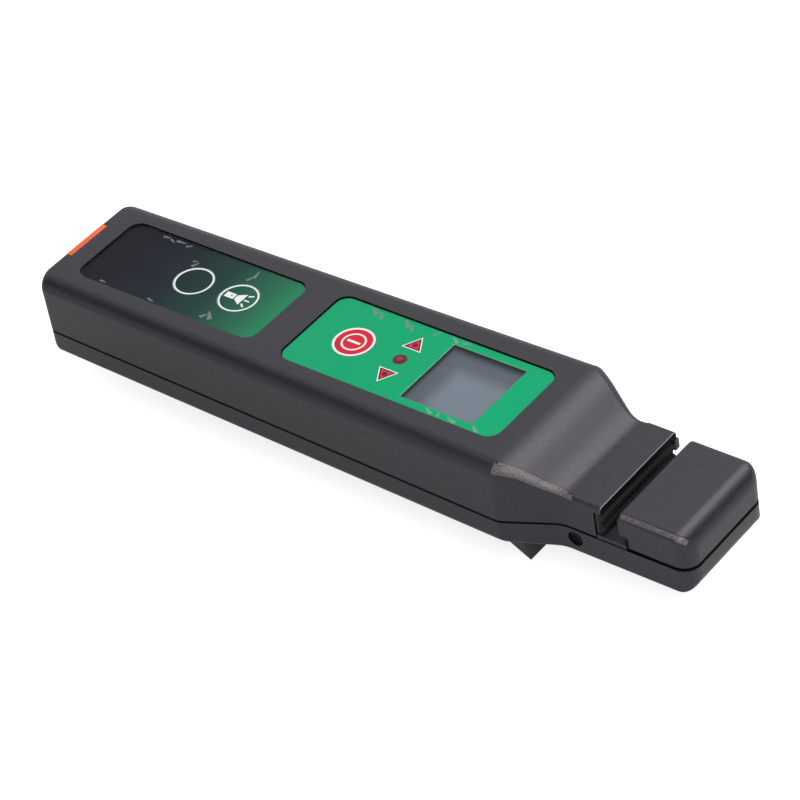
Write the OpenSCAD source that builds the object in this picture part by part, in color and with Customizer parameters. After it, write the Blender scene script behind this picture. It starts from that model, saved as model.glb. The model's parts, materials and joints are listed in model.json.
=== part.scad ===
// Hand-held optical fibre identifier. The origin is on the surface under it, below the middle of the casing.
// +X points to the head with the fibre slot, +Z up through the printed face, and Y across the handle.

/* [Casing] */
// Overall length of the casing
body_l = 200; // [197:0.5:212]
// Width of the handle at the tail
tail_w = 38.2; // [37.8:0.1:41]
// Width of the handle at the shoulder
shoulder_w = 45.1; // [44:0.1:48]
// Height of the handle above its underside
handle_h = 24.3; // [24:0.1:26]
// Height of the parting line above the underside
parting_z = 7.4; // [7.2:0.1:7.8]
// Width of the black line between the shells
parting_gap = 0.35; // [0.2:0.05:0.5]
// Thickness of the side walls and of the handle's face
wall = 2; // [1.8:0.1:2.2]
// Thickness of the underside
floor_t = 1.6; // [1.3:0.1:1.7]
// Thickness of the end wall at the tail
tail_wall = 4.6; // [4.2:0.1:5]
// Radius along the top edges of the handle
top_edge_r = 4; // [2:0.1:4.2]
// Radius along the bottom edges
low_edge_r = 2.5; // [1.5:0.1:3]
// Radius of the tail's corners seen from above
corner_r = 2.2; // [2.2:0.4:3.4]
// Radius of the head's corners seen from above
head_corner_r = 4.4; // [3:0.1:4.8]
// Radius of the top edge at the tail
tail_edge_r = 0.8; // [0.4:0.1:1.2]

/* [Neck and head] */
// Width of the neck and of the head
neck_w = 31.6; // [31.6:0.1:33]
// Height of the neck and of the head above the underside
neck_h = 17.4; // [17.2:0.1:18.4]
// Thickness of the roof of the neck and of the head
roof_t = 1.8; // [1.5:0.1:1.9]
// Length of the head block beyond the slot
block_l = 19.8; // [19:0.1:21]
// Width of the fibre slot between the roof's lip and the head block
slot_w = 4.65; // [4.5:0.05:5]
// How far the roof's lip stands out past the side walls of the neck
lip_l = 2.2; // [1.8:0.1:2.6]
// Thickness of the lip
lip_t = 2; // [1.8:0.1:2.1]
// Distance from the start of the shoulder to the lip
shoulder_l = 27.2; // [26:0.2:28]
// Length over which the face slopes down to the neck
slope_l = 19.8; // [19:0.1:21]
// Length over which the sides draw in to the neck
waist_l = 17.4; // [17:0.1:19]
// Radius of the head's top edge at its end
head_edge_r = 4.5; // [3:0.1:5]
// Radius of the head's top edges along its sides
block_edge_r = 1.9; // [0.8:0.1:2]
// Radius of the head's bottom edges along its sides
low_head_r = 0.8; // [0.6:0.1:1.6]
// Radius of the head's bottom edge at its end
low_end_r = 4; // [2.5:0.1:4.2]

/* [Trigger] */
// Distance from the pivot to the lip
pivot_back = 8.65; // [8.4:0.05:8.9]
// Height of the pivot above the underside
pivot_z = 4.24; // [4.2:0.02:4.5]
// Diameter of the pivot pin
pivot_d = 2.5; // [2:0.1:2.6]
// Width of the trigger
trigger_w = 24; // [22:0.5:24]
// Depth of the trigger's tip below the underside
trigger_drop = 13.9; // [12:0.1:15]
// Distance from the trigger's tip back to the pivot
trigger_back = 18.4; // [17.8:0.1:18.8]
// Length of the trigger's sloping underside along X
ramp_l = 15.5; // [14.5:0.1:16]
// Swing of the trigger from rest to its stop, in degrees
trigger_swing = 26; // [20:1:26]
// Length of the lever above the pivot
lever_l = 9.4; // [9:0.05:9.5]

/* [Jaw] */
// Length of the jaw's body behind the slot
jaw_l = 12.6; // [12:0.1:13]
// Height of the jaw
jaw_h = 7; // [6.5:0.1:7]
// Thickness of the ribbed pad with its ribs
pad_t = 1.6; // [1.2:0.1:1.7]
// Height of a rib on the pad
rib_h = 1.4; // [1:0.1:1.8]
// Diameter of a guide rod
rod_d = 2.5; // [2:0.1:2.5]

/* [Face panels] */
// Distance from the tail to the rear panel
rear_from_tail = 8; // [7.8:0.1:8.4]
// Length of the rear panel
rear_l = 59; // [58:0.1:60]
// Width of the rear panel
rear_w = 24.6; // [23:0.1:25.5]
// Gap between the two panels
panel_gap = 9.9; // [9:0.1:11]
// Length of the display panel
display_l = 67; // [66.4:0.1:67.4]
// Width of the display panel
display_w = 27.3; // [26.5:0.1:28]
// Corner radius of both panels
panel_r = 3.4; // [2.6:0.1:4.4]
// Thickness of the printed panels
panel_t = 0.35; // [0.25:0.05:0.45]
// Depth of the recess that holds a panel
recess_t = 0.85; // [0.7:0.05:0.9]

/* [Keys and lamps] */
// Diameter of a key
key_d = 10.9; // [10:0.1:11.2]
// Travel of a key
key_travel = 0.4; // [0.3:0.05:0.45]
// Distance from the rear panel's head end to the torch key
torch_key_back = 13.8; // [13.2:0.1:14.4]
// Distance between the torch key and the laser key
key_pitch = 15; // [14.5:0.1:15.5]
// Distance from the display panel's tail end to the power key
power_key_in = 13.85; // [13.6:0.05:14.2]
// Distance from the power key to the lamps
lamps_ahead = 14.55; // [14.2:0.05:14.9]
// Distance of a direction lamp from the middle
arrow_lamp_y = 6.2; // [5.8:0.1:6.4]
// Diameter of a direction lamp
arrow_lamp_d = 1.6; // [1.4:0.1:2]
// Diameter of the signal lamp
signal_lamp_d = 3; // [2.6:0.1:3.2]

/* [Display] */
// Length of the display window along the handle
window_l = 22.1; // [21.4:0.1:22.4]
// Width of the display window
window_w = 22.2; // [21.4:0.1:22.4]
// Distance from the display panel's head end to the window
window_back = 8; // [7.6:0.1:8.3]
// Thickness of the clear window
window_t = 0.8; // [0.6:0.1:0.9]
// Thickness of the display module
module_t = 3; // [2.8:0.1:3.2]

/* [Tail] */
// Diameter of the ferrule bore in the laser port
ferrule_d = 2.52; // [2.5:0.01:2.54]
// Outer diameter of the port sleeve
sleeve_d = 5.2; // [4.6:0.1:5.6]
// Length of the port sleeve
sleeve_l = 11.2; // [11:0.1:12]
// Diameter of the laser module
laser_d = 7.8; // [7.2:0.1:8]
// Length of the laser module
laser_l = 22; // [20:0.5:23]
// Width of the port cover
cover_w = 14.3; // [13.5:0.1:14.6]
// Thickness of the port cover
cover_t = 1.7; // [1.5:0.1:1.8]
// Diameter of the port cover's hinge pin
cover_pin_d = 1.2; // [1:0.1:1.3]
// Distance of the torch from the middle
torch_y = 10.9; // [10.7:0.1:11.1]
// Diameter of the torch lens
torch_d = 4.4; // [4:0.1:4.6]

/* [Board and power] */
// Thickness of the main board
pcb_t = 1.2; // [1:0.1:1.4]
// Diameter of a battery cell
cell_d = 10.5; // [10:0.1:10.6]
// Length of a battery cell
cell_l = 44.5; // [43:0.1:44.6]
// Wall of the battery tray
tray_wall = 1.2; // [1:0.1:1.3]
// Distance from the tail to the battery tray
tray_from_tail = 37.6; // [37.2:0.1:38]
// Diameter of the buzzer
buzzer_d = 9.6; // [9:0.1:10]

/* [Fasteners] */
// Diameter of the screws' shanks
screw_d = 2.2; // [2:0.1:2.3]
// Diameter of the screws' heads
screw_head_d = 4.6; // [4.2:0.1:4.7]
// Outer diameter of a screw boss
boss_d = 5.4; // [5.2:0.1:5.5]

/* [Fits] */
// Radial clearance of a turning or sliding fit
run_fit = 0.04; // [0.02:0.01:0.06]
// Radial clearance of a pin held still
seat_fit = 0.02; // [0.01:0.01:0.03]
// Gap round pieces that move past each other
gap = 0.2; // [0.15:0.01:0.24]

/* [Hidden] */
$fn = 48;

// How far a cut runs past the face it opens, and how far a joined form sinks into its neighbour
over = 1;
sink = 0.4;
// Steps round a quarter of an edge and along the shoulder
arc_n = 8;
slope_n = 24;
// Smallest radius left on an inner corner
least_r = 0.3;

// Stations along the casing
tail_x = -body_l/2;
head_x = body_l/2;
block_x = head_x - block_l;
lip_x = block_x - slot_w;
cheek_x = lip_x - lip_l;
shoulder_x = lip_x - shoulder_l;
pivot_x = lip_x - pivot_back;
cavity_x = tail_x + tail_wall;

// Levels of the casing
lower_top = parting_z - parting_gap/2;
upper_low = parting_z + parting_gap/2;
ceiling_z = handle_h - wall;
neck_ceiling_z = neck_h - roof_t;
lip_low = neck_h - lip_t;

// Shares of the shoulder's curves: where each parabola ends and the next begins
slope_start_share = 0.42;
slope_end_share = 0.42;
waist_start_share = 0.15;
waist_end_share = 0.25;
// How far the slope would dip under the neck's roof, which makes the crease where they meet
slope_dip = 0.25;
// Edge radii on the shoulder and on the neck, and how far from the shoulder's start they are reached
shoulder_edge_r = 3.3;
shoulder_edge_l = 2;
slope_edge_r = 1.5;
slope_edge_back = 0.8;
neck_edge_r = 0.9;

// Tongue of the lower casing inside a rebate of the upper one
tongue_h = 1.2;
tongue_in = 1.15;
rebate_in = 1;
seam = 0.15;

function share(v) = min(1, max(0, v));

// How far a rounded end stands back at distance d from it
function stands_back(r, d) = d <= 0 ? r : d >= r ? 0 : r - sqrt(r*r - (r - d)*(r - d));

// From 0 to 1 in an S: a parabola, a straight stretch and a parabola
function s_curve(u, first, last) =
    let (m = 1/(1 - first/2 - last/2))
    u <= 0 ? 0 : u >= 1 ? 1 :
    u < first ? m*u*u/(2*first) :
    u <= 1 - last ? m*(u - first/2) : 1 - m*(1 - u)*(1 - u)/(2*last);

// Half the casing's width at x, drawn in by i
function half_w(x, i = 0) =
    (tail_w + (shoulder_w - tail_w)*share((x - tail_x)/(shoulder_x - tail_x)))/2
    - (shoulder_w - neck_w)/2*s_curve((x - shoulder_x)/waist_l, waist_start_share, waist_end_share)
    - i - stands_back(max(least_r, corner_r - i), x - tail_x - i)
    - stands_back(max(least_r, head_corner_r - i), head_x - i - x);

// Height of the upper face at x
function roof_z(x) =
    max(neck_h, handle_h - (handle_h - neck_h + slope_dip)
        *s_curve((x - shoulder_x)/slope_l, slope_start_share, slope_end_share))
    - stands_back(tail_edge_r, x - tail_x) - stands_back(head_edge_r, head_x - x);

// Height of the underside at x
function base_z(x) = stands_back(low_edge_r, x - tail_x) + stands_back(low_end_r, head_x - x);

// Radius between the upper face and the sides at x
function edge_r(x) = x >= block_x ? block_edge_r :
    lookup(x, [[shoulder_x, top_edge_r], [shoulder_x + shoulder_edge_l, shoulder_edge_r],
               [shoulder_x + slope_l - slope_edge_back, slope_edge_r], [shoulder_x + slope_l, neck_edge_r]]);

// Radius between the underside and the sides at x
function low_r(x) = lookup(x, [[shoulder_x, low_edge_r], [shoulder_x + waist_l, low_head_r]]);

// Stations round the tail's corners, along the shoulder and round the head's end
tail_stations = [for (k = [0:arc_n]) tail_x + corner_r*(1 - cos(90*k/arc_n))];
slope_stations = [for (k = [0:slope_n]) shoulder_x + slope_l*k/slope_n];
function end_stations(r) = [for (k = [0:arc_n]) head_x - r*(1 - sin(90*k/arc_n))];

// Outline of a section through the upper casing at x, down to z0
function upper_ring(x, z0) =
    let (w = half_w(x), t = roof_z(x), r = edge_r(x))
    concat([[x, -w, z0]],
        [for (k = [0:arc_n]) [x, -w + r - r*cos(90*k/arc_n), t - r + r*sin(90*k/arc_n)]],
        [for (k = [0:arc_n]) [x, w - r + r*sin(90*k/arc_n), t - r + r*cos(90*k/arc_n)]],
        [[x, w, z0]]);

// Outline of a section through the lower casing at x, up to z1
function lower_ring(x, z1) =
    let (w = half_w(x), b = base_z(x), r = low_r(x))
    concat([[x, w, z1]],
        [for (k = [0:arc_n]) [x, w - r + r*cos(90*k/arc_n), b + r - r*sin(90*k/arc_n)]],
        [for (k = [0:arc_n]) [x, -w + r - r*sin(90*k/arc_n), b + r - r*cos(90*k/arc_n)]],
        [[x, -w, z1]]);

// A closed solid through a row of rings, each clockwise when seen from the next one's side
module loft(rings) {
    n = len(rings[0]);
    m = len(rings);
    polyhedron(
        points = [for (ring = rings) for (p = ring) p],
        faces = concat(
            [[for (j = [n - 1:-1:0]) j]],
            [for (i = [0:m - 2]) for (j = [0:n - 1]) [i*n + j, i*n + (j + 1)%n, (i + 1)*n + (j + 1)%n]],
            [for (i = [0:m - 2]) for (j = [0:n - 1]) [i*n + j, (i + 1)*n + (j + 1)%n, (i + 1)*n + j]],
            [[for (j = [0:n - 1]) (m - 1)*n + j]]));
}

// Plan of the casing drawn in by i, between x0 and x1
module plan(i, x0, x1) {
    stations = concat([for (x = tail_stations) x + i], slope_stations, [for (x = end_stations(head_corner_r)) x - i]);
    xs = concat([x0], [for (x = stations) if (x > x0 && x < x1) x], [x1]);
    polygon(concat([for (x = xs) [x, half_w(x, i)]],
        [for (k = [len(xs) - 1:-1:0]) [xs[k], -half_w(xs[k], i)]]));
}

// A slab with the casing's plan drawn in by i
module slab(i, x0, x1, z0, z1) {
    translate([0, 0, z0])
        linear_extrude(z1 - z0)
            plan(i, x0, x1);
}

// A shape drawn in X and Z, w wide across the handle
module across(w) {
    rotate([90, 0, 0])
        linear_extrude(w, center = true)
            children();
}

// A box between two corners
module block(low, high) {
    translate(low)
        cube(high - low);
}

// Round bars along X, along Y and upright
module bar_x(x0, x1, r) {
    translate([x0, 0, 0])
        rotate([0, 90, 0])
            cylinder(r = r, h = x1 - x0);
}

module bar_y(y0, y1, r) {
    translate([0, y0, 0])
        rotate([-90, 0, 0])
            cylinder(r = r, h = y1 - y0);
}

module bar_z(z0, z1, r) {
    translate([0, 0, z0])
        cylinder(r = r, h = z1 - z0);
}

// A shape and its mirror image on the other side of the middle
module both_sides() {
    children();
    mirror([0, 1, 0])
        children();
}

module rounded_rect(l, w, r) {
    square([l - 2*r, w], center = true);
    square([l, w - 2*r], center = true);
    for (sx = [-1, 1])
        for (sy = [-1, 1])
            translate([sx*(l/2 - r), sy*(w/2 - r)])
                circle(r);
}

// Everything is drawn above the casing's underside and stands on the trigger's tip
module standing() {
    translate([0, 0, trigger_drop])
        children();
}

// Colours
casing_color = [0.25, 0.245, 0.26];
black_color = [0.06, 0.06, 0.065];
green_color = [0.1, 0.6, 0.42];
navy_color = [0.13, 0.2, 0.22];
red_color = [0.87, 0.15, 0.2];
orange_color = [0.92, 0.38, 0.2];
steel_color = [0.72, 0.72, 0.74];
brass_color = [0.8, 0.65, 0.35];
board_color = [0.05, 0.35, 0.2];
glass_color = [0.5, 0.56, 0.6];
clear_color = [0.85, 0.9, 0.95, 0.5];

// The handle's length that the sizes along its face are given for, and how it compares with that
handle_given = 148.35;
face = (shoulder_x - tail_x)/handle_given;

// Face: panels in their recesses
recess_floor = handle_h - recess_t;
panel_top = recess_floor + panel_t;
panel_line = 0.2;
rear_x0 = tail_x + rear_from_tail*face;
rear_x1 = rear_x0 + rear_l*face;
display_x0 = rear_x1 + panel_gap*face;
display_x1 = display_x0 + display_l*face;

// Keys: cap, flange under the face, and stem in the switch
key_line = 0.1;
torch_key_x = rear_x1 - torch_key_back*face;
vfl_key_x = torch_key_x - key_pitch*face;
power_key_x = display_x0 + power_key_in*face;
key_r = key_d/2*face;
flange_out = 0.95;
flange_t = 0.8;
stem_d = 3.2;
stem_in = 0.4;
switch_w = 6;
switch_h = 1.4;

// Lamps
lamps_x = power_key_x + lamps_ahead*face;
lamp_low = 0.05;

// Display: window on a ledge, module under the face, board under the module
window_x1 = display_x1 - window_back;
window_x0 = window_x1 - window_l*face;
window_ledge = 1;
module_out = 2;
module_out_y = 1;
module_well = 1.9;
module_bezel = 1.2;
module_top = ceiling_z - gap;
pcb_top = module_top - module_t;
pcb_low = pcb_top - pcb_t;
switch_top = pcb_top + switch_h;

// Main board: a narrow stretch past the screws and a wide one under the display
spring_back = 24.4;
spring_x = pivot_x - spring_back;
pcb_x0 = cavity_x + 0.9*over;
pcb_x1 = spring_x - 4.5*over;
pcb_wide_x = lamps_x + 0.5*over;
pcb_half = 11.4;
pcb_half_wide = 14;
post_d = 2.8;
post_y = 9.8;
post_out = 12;
post_xs = [vfl_key_x - post_out, torch_key_x + post_out, lamps_x - post_d*1.6];

// Tail: port, torch and cover
cover_in = 2.6;
cover_seat_in = 2.05;
cover_back = tail_x + cover_seat_in - gap/2;
cover_skin = 0.6;
cover_barrel_r = 1.1;
cover_low = lower_top + tongue_h + seam + cover_skin;
cover_hinge_x = tail_x + 1.35;
cover_hinge_z = cover_low + 2*gap + cover_barrel_r;
cover_draft = 0.1;
cover_top_gap = 0.1;
cover_pin_in = 1.2;
port_x = tail_x + cover_in;
port_z = pcb_low - gap - laser_d/2;
laser_x0 = port_x + sleeve_l;
laser_x1 = laser_x0 + laser_l;
light_d = 1;
lens_in = 3.5;
lens_out = 0.5;
torch_led_d = 3;
torch_hole_d = 3.6;
torch_led_reach = 1;
torch_block = 3.8;
torch_block_l = 4.8;
saddle_t = 1.6;
saddle_in = 4;
saddle_half = 5.2;

// Power: tray on the floor round the door's opening
cell_gap = 0.25;
cell_lift = 0.6;
contact_t = 0.4;
contact_w = 8;
cell_spring_l = 3.6;
cell_spring_r = 2.6;
cell_wire_r = 0.3;
cell_spring_turns = 3;
cell_y = cell_d/2 + cell_gap;
cell_z = floor_t + cell_lift + cell_d/2;
cell_button_d = 3.8;
cell_button_l = 0.8;
tray_x0 = tail_x + tray_from_tail;
cell_x0 = tray_x0 + tray_wall + contact_t + cell_spring_l;
cell_x1 = cell_x0 + cell_l;
tray_x1 = cell_x1 + contact_t + tray_wall;
tray_half = cell_y + cell_d/2 + cell_gap + tray_wall;
tray_roof_z = cell_z + cell_d/2 + cell_gap;
door_half = tray_half - tray_wall - 2*gap;
door_in = 2.4;
door_x0 = tray_x0 + door_in;
door_r = 1.4;
door_hinge_ahead = 2.5;
door_hinge_x = tray_x1 + door_hinge_ahead;
door_stub_d = 1.4;
door_stub_l = 1.8;
ear_half = 1.9;
ear_t = 2.2;
grip_n = 5;
grip_w = 0.8;
grip_pitch = 1.8;
grip_l = 12;
grip_t = 0.4;

// Things on the board
can_l = 10;
can_w = 14;
can_h = 2.1;
can_ahead = 19;
chip_w = 9;
chip_h = 1.1;
chip_xs = [torch_key_x, torch_key_x + key_pitch*face];
buzzer_h = 4;
buzzer_hole_d = 2;

// Screws
screw_seat = 1.1;
screw_head_h = 0.9;
case_screw_l = 14;
head_screw_l = 9.5;
drive_w = 0.6;
drive_l = 2.6;
drive_t = 0.5;
tail_screw_in = 13.5;
mid_screw_ahead = 6.9;
neck_screw_back = 0.5;
head_screw_in = 9;
case_screw_xs = [tail_x + tail_screw_in, power_key_x + mid_screw_ahead, shoulder_x - neck_screw_back];
head_screw_x = head_x - head_screw_in;
function screw_y(x) = half_w(x) - wall - seam - boss_d/2;

// Slot: rims of the lower casing, bed, and the foot of the head block
foot_back = 2;
foot_top = parting_z + 3.1;
foot_in = 1;
rim_h = 1.3;
rim_z = lower_top + rim_h;
rim_in = 0.05;
bed_top = rim_z - 0.5;
bed_t = 1.1;
bed_x0 = pivot_x + 2.9;
bed_rib_x = pivot_x + 5.3;
bed_rib_y = 5.4;
bed_rib_t = 1.2;

// Trigger
pivot_hole_d = 4.2;
pivot_hole_t = 1;
pin_proud = 0.1;
hub_r = 2.45;
hub_half = 9;
arm_in = 5;
arm_out = 8;
arm_half_z = 1.95;
lever_half_w = 2.8;
lever_half_t = 1.7;
drive_d = 2;
drive_half = 5.8;
clip_t = 0.6;
clip_r = 2.4;
tip_x = pivot_x - trigger_back;
ramp_angle = 30;
root_l = 2.4;
root_x = tip_x - ramp_l - root_l;
front_lean = 4.5;
front_x = tip_x - front_lean;
root_z = floor_t - 0.7;
knee_l = 8;
knee_z = pivot_z + 0.36;
spring_pad_half = 4.2;
trigger_hole_back = 1.5;
trigger_hole_ahead = 2.2;
trigger_play = 0.35;

// Return spring
spring_r = 2.7;
spring_wire_r = 0.3;
spring_turns = 7;
spring_cup_t = 1.2;
spring_boss_r = 1.9;
spring_boss_h = 2.3;

// Jaw
jaw_lip = 1.3;
jaw_front = lip_x - jaw_lip;
jaw_flange_t = 0.7;
jaw_rear = jaw_front - jaw_flange_t - jaw_l;
jaw_z0 = bed_top + gap;
jaw_half = neck_w/2 - wall - 3*gap;
flange_half = neck_w/2 - 2*gap;
flange_z0 = rim_z + gap;
flange_z1 = lip_low - 1.5*gap;
lug_y0 = 14.5;
lug_y1 = 16.2;
lug_z0 = 12.2;
pad_base_t = 0.9;
pad_rib_zs = [flange_z0 + 1.1, flange_z0 + 4.3];
drive_z = pivot_z + lever_l;
drive_sink = lever_l*(1 - cos(trigger_swing));
drive_play = 0.12;
pocket_back = 4.3;
pocket_ahead = 2.3;
pocket_half = 3.1;
cheek_slot_half = 6.1;
rod_y = 10.4;
rod_z = 11.7;
rod_l = 16.1;
rod_bore_ahead = 0.85;
frame_ahead = 2.2;
frame_t = 2.4;
frame_x1 = jaw_rear - frame_ahead;
frame_x0 = frame_x1 - frame_t;
frame_half = 12.1;
frame_top = rod_z + 3.3;
frame_foot_l = 4.4;
frame_foot_t = 1.4;
frame_foot_y = 9.2;
arm_window_z = 11.6;
arm_play = 0.6;

// Head: anvil, photodiodes and their board
anvil_half = 11;
anvil_z0 = bed_top + 0.9;
anvil_z1 = neck_ceiling_z - 0.7;
anvil_flange_t = 0.85;
anvil_flange_out = 0.9;
anvil_groove_t = 0.5;
anvil_light_d = 2;
diode_d = 4.6;
diode_y = 6;
diode_z = 11.9;
detector_back = 6.1;
detector_x = block_x + detector_back;
detector_t = 1.2;
detector_half = 13.4;
detector_gap = 0.8;
cable_w = 1.3;
cable_t = 0.5;
cable_y = neck_w/2 - wall - gap - cable_w/2;
cable_z = pivot_z + pivot_d/2 + gap;
cable_end_back = 3;

// Casing

// The space under the roof, cut to the roof's slope
module upper_cavity() {
    intersection() {
        slab(wall, cavity_x, lip_x + over, upper_low - over, handle_h);
        across(2*shoulder_w)
            polygon(concat([[tail_x - over, 0], [tail_x - over, ceiling_z]],
                [for (x = slope_stations)
                    [x, roof_z(x) - wall + (wall - roof_t)*share((x - shoulder_x)/slope_l)]],
                [[lip_x + 2*over, neck_ceiling_z], [lip_x + 2*over, 0]]));
    }
}

module wall_ring(outer_in, x0, x1, z0, z1) {
    difference() {
        slab(outer_in, max(x0, tail_x + outer_in), min(x1, head_x - outer_in), z0, z1);
        slab(wall, max(x0 - over, tail_x + wall), min(x1 + over, head_x - wall), z0 - over, z1 + over);
    }
}

module rebate(x0, x1) {
    wall_ring(rebate_in, x0, x1, upper_low - over, lower_top + tongue_h + seam);
}

module screw_places(xs) {
    for (x = xs)
        both_sides()
            translate([x, screw_y(x), 0])
                children();
}

module panel_recess(x0, x1, w) {
    translate([(x0 + x1)/2, 0, recess_floor])
        linear_extrude(recess_t + over)
            rounded_rect(x1 - x0 + 2*panel_line, w + 2*panel_line, panel_r + panel_line);
}

module key_places() {
    for (x = [vfl_key_x, torch_key_x, power_key_x])
        translate([x, 0, 0])
            children();
}

module arrow_lamp_places() {
    for (side = [-1, 1])
        translate([lamps_x, side*arrow_lamp_y, 0])
            children();
}

module top_shell() {
    color(casing_color)
        standing()
            difference() {
                union() {
                    difference() {
                        loft([for (x = concat(tail_stations, slope_stations, [lip_x])) upper_ring(x, upper_low)]);
                        upper_cavity();
                    }
                    screw_places(case_screw_xs)
                        bar_z(upper_low, ceiling_z + sink, boss_d/2);
                    for (x = post_xs)
                        both_sides()
                            translate([x, post_y, 0])
                                bar_z(pcb_top, ceiling_z + sink, post_d/2);
                    translate([spring_x, 0, 0])
                        bar_z(ceiling_z - spring_boss_h, ceiling_z + sink, spring_boss_r);
                }
                rebate(tail_x, cheek_x - parting_gap);
                block([cheek_x, -neck_w, 0], [lip_x + over, neck_w, lip_low]);
                screw_places(case_screw_xs)
                    bar_z(0, screw_seat + case_screw_l + gap, screw_d/2 + seat_fit);
                panel_recess(rear_x0, rear_x1, rear_w);
                panel_recess(display_x0, display_x1, display_w);
                key_places()
                    bar_z(ceiling_z - over, handle_h + over, key_r + gap);
                arrow_lamp_places()
                    bar_z(ceiling_z - over, handle_h + over, arrow_lamp_d/2 + gap);
                translate([lamps_x, 0, 0])
                    bar_z(ceiling_z - over, handle_h + over, signal_lamp_d/2 + gap);
                window_cut();
                tail_cut();
            }
}

// Pocket for the clear window and the opening under it
module window_cut() {
    block([window_x0 - window_ledge - gap, -window_w/2 - window_ledge - gap, recess_floor - window_t],
        [window_x1 + window_ledge + gap, window_w/2 + window_ledge + gap, handle_h]);
    block([window_x0, -window_w/2, ceiling_z - over], [window_x1, window_w/2, handle_h]);
}

// Recess of the port cover with its pin's bore, and the holes for the port and the torch
module tail_cut() {
    block([tail_x - over, -cover_w/2 - gap, cover_low],
        [tail_x + cover_in, cover_w/2 + gap, cover_hinge_z + cover_barrel_r + gap]);
    block([tail_x - over, -cover_w/2 - gap, cover_low],
        [tail_x + cover_seat_in, cover_w/2 + gap, handle_h + over]);
    translate([cover_hinge_x, 0, cover_hinge_z])
        bar_y(-cover_w/2 - gap - cover_pin_in, cover_w/2 + gap + cover_pin_in, cover_pin_d/2 + seat_fit);
    translate([0, 0, port_z])
        bar_x(tail_x, cavity_x + over, sleeve_d/2 + seat_fit);
    translate([0, torch_y, port_z]) {
        bar_x(tail_x - over, tail_x + lens_in, torch_d/2 + seat_fit);
        bar_x(tail_x, cavity_x + over, torch_hole_d/2);
    }
}

module bottom_shell() {
    color(casing_color)
        standing()
            difference() {
                union() {
                    difference() {
                        loft([for (x = concat(tail_stations, slope_stations, end_stations(head_corner_r)))
                            lower_ring(x, lower_top)]);
                        slab(wall, tail_x + wall, head_x - wall, floor_t, lower_top + over);
                    }
                    wall_ring(tongue_in, tail_x, cheek_x - 3*parting_gap, lower_top - sink, lower_top + tongue_h);
                    wall_ring(tongue_in, block_x + foot_back + gap, head_x, lower_top - sink, lower_top + tongue_h);
                    wall_ring(rim_in, cheek_x + gap, block_x + foot_back - gap, lower_top - sink, rim_z);
                    screw_places(concat(case_screw_xs, [head_screw_x]))
                        bar_z(floor_t - sink, lower_top, boss_d/2);
                    both_sides() {
                        block([bed_rib_x, bed_rib_y, floor_t - sink],
                            [block_x - pivot_hole_t, bed_rib_y + bed_rib_t, bed_top - bed_t]);
                        block([door_hinge_x - ear_half, door_half + gap, floor_t - sink],
                            [door_hinge_x + ear_half, door_half + gap + ear_t, 2*door_r]);
                    }
                    laser_saddles();
                }
                screw_places(concat(case_screw_xs, [head_screw_x])) {
                    bar_z(-over, screw_seat, screw_head_d/2 + gap);
                    bar_z(-over, lower_top + over, screw_d/2 + gap);
                }
                block([door_x0 - gap, -door_half - gap, -over],
                    [door_hinge_x + door_r + gap, door_half + gap, floor_t + over]);
                translate([door_hinge_x, 0, door_r])
                    bar_y(-door_half - 2*door_stub_l, door_half + 2*door_stub_l, door_stub_d/2 + run_fit);
                block([root_x - trigger_hole_back, -trigger_w/2 - trigger_play, -over],
                    [front_x + trigger_hole_ahead, trigger_w/2 + trigger_play, floor_t + over]);
                translate([pivot_x, 0, pivot_z]) {
                    bar_y(-neck_w, neck_w, pivot_d/2 + seat_fit);
                    both_sides()
                        bar_y(neck_w/2 - pivot_hole_t, neck_w, pivot_hole_d/2);
                }
            }
}

// Two ribs that carry the laser module
module laser_saddles() {
    difference() {
        for (x = [laser_x0 + saddle_in, laser_x1 - saddle_in])
            block([x - saddle_t/2, -saddle_half, floor_t - sink], [x + saddle_t/2, saddle_half, port_z - laser_d/4]);
        translate([0, 0, port_z])
            bar_x(laser_x0, laser_x1, laser_d/2 + gap/2);
    }
}

module head_cap() {
    color(casing_color)
        standing()
            difference() {
                union() {
                    difference() {
                        loft([for (x = concat([block_x], end_stations(head_edge_r))) upper_ring(x, upper_low)]);
                        slab(wall, block_x + wall, head_x - wall, upper_low - over, neck_ceiling_z);
                    }
                    screw_places([head_screw_x])
                        bar_z(upper_low, neck_ceiling_z + sink, boss_d/2);
                }
                rebate(block_x + foot_back, head_x);
                both_sides()
                    block([block_x - over, neck_w/2 - wall - foot_in, upper_low - over],
                        [block_x + foot_back, neck_w, foot_top]);
                block([block_x - over, -anvil_half - gap, anvil_z0 - gap],
                    [block_x + wall + over, anvil_half + gap, anvil_z1 + gap]);
                screw_places([head_screw_x])
                    bar_z(0, screw_seat + head_screw_l + gap, screw_d/2 + seat_fit);
            }
}

module battery_door() {
    color(casing_color)
        standing()
            difference() {
                union() {
                    block([door_x0, -door_half, 0], [door_hinge_x, door_half, floor_t]);
                    translate([door_hinge_x, 0, door_r]) {
                        bar_y(-door_half, door_half, door_r);
                        bar_y(-door_half - door_stub_l, door_half + door_stub_l, door_stub_d/2);
                    }
                }
                for (k = [0:grip_n - 1])
                    translate([door_x0 + grip_pitch*(k + 1), 0, 0])
                        block([0, -grip_l/2, -over], [grip_w, grip_l/2, grip_t]);
            }
}

module port_cover() {
    color(orange_color)
        standing()
            difference() {
                union() {
                    across(cover_w)
                        polygon([[cover_back, cover_hinge_z], [cover_back, handle_h - cover_top_gap],
                            [cover_back - cover_t, handle_h - cover_top_gap],
                            [cover_back - cover_t - cover_draft, cover_hinge_z]]);
                    translate([cover_hinge_x, 0, cover_hinge_z])
                        bar_y(-cover_w/2, cover_w/2, cover_barrel_r);
                }
                translate([cover_hinge_x, 0, cover_hinge_z])
                    bar_y(-cover_w, cover_w, cover_pin_d/2 + run_fit);
            }
}

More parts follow.
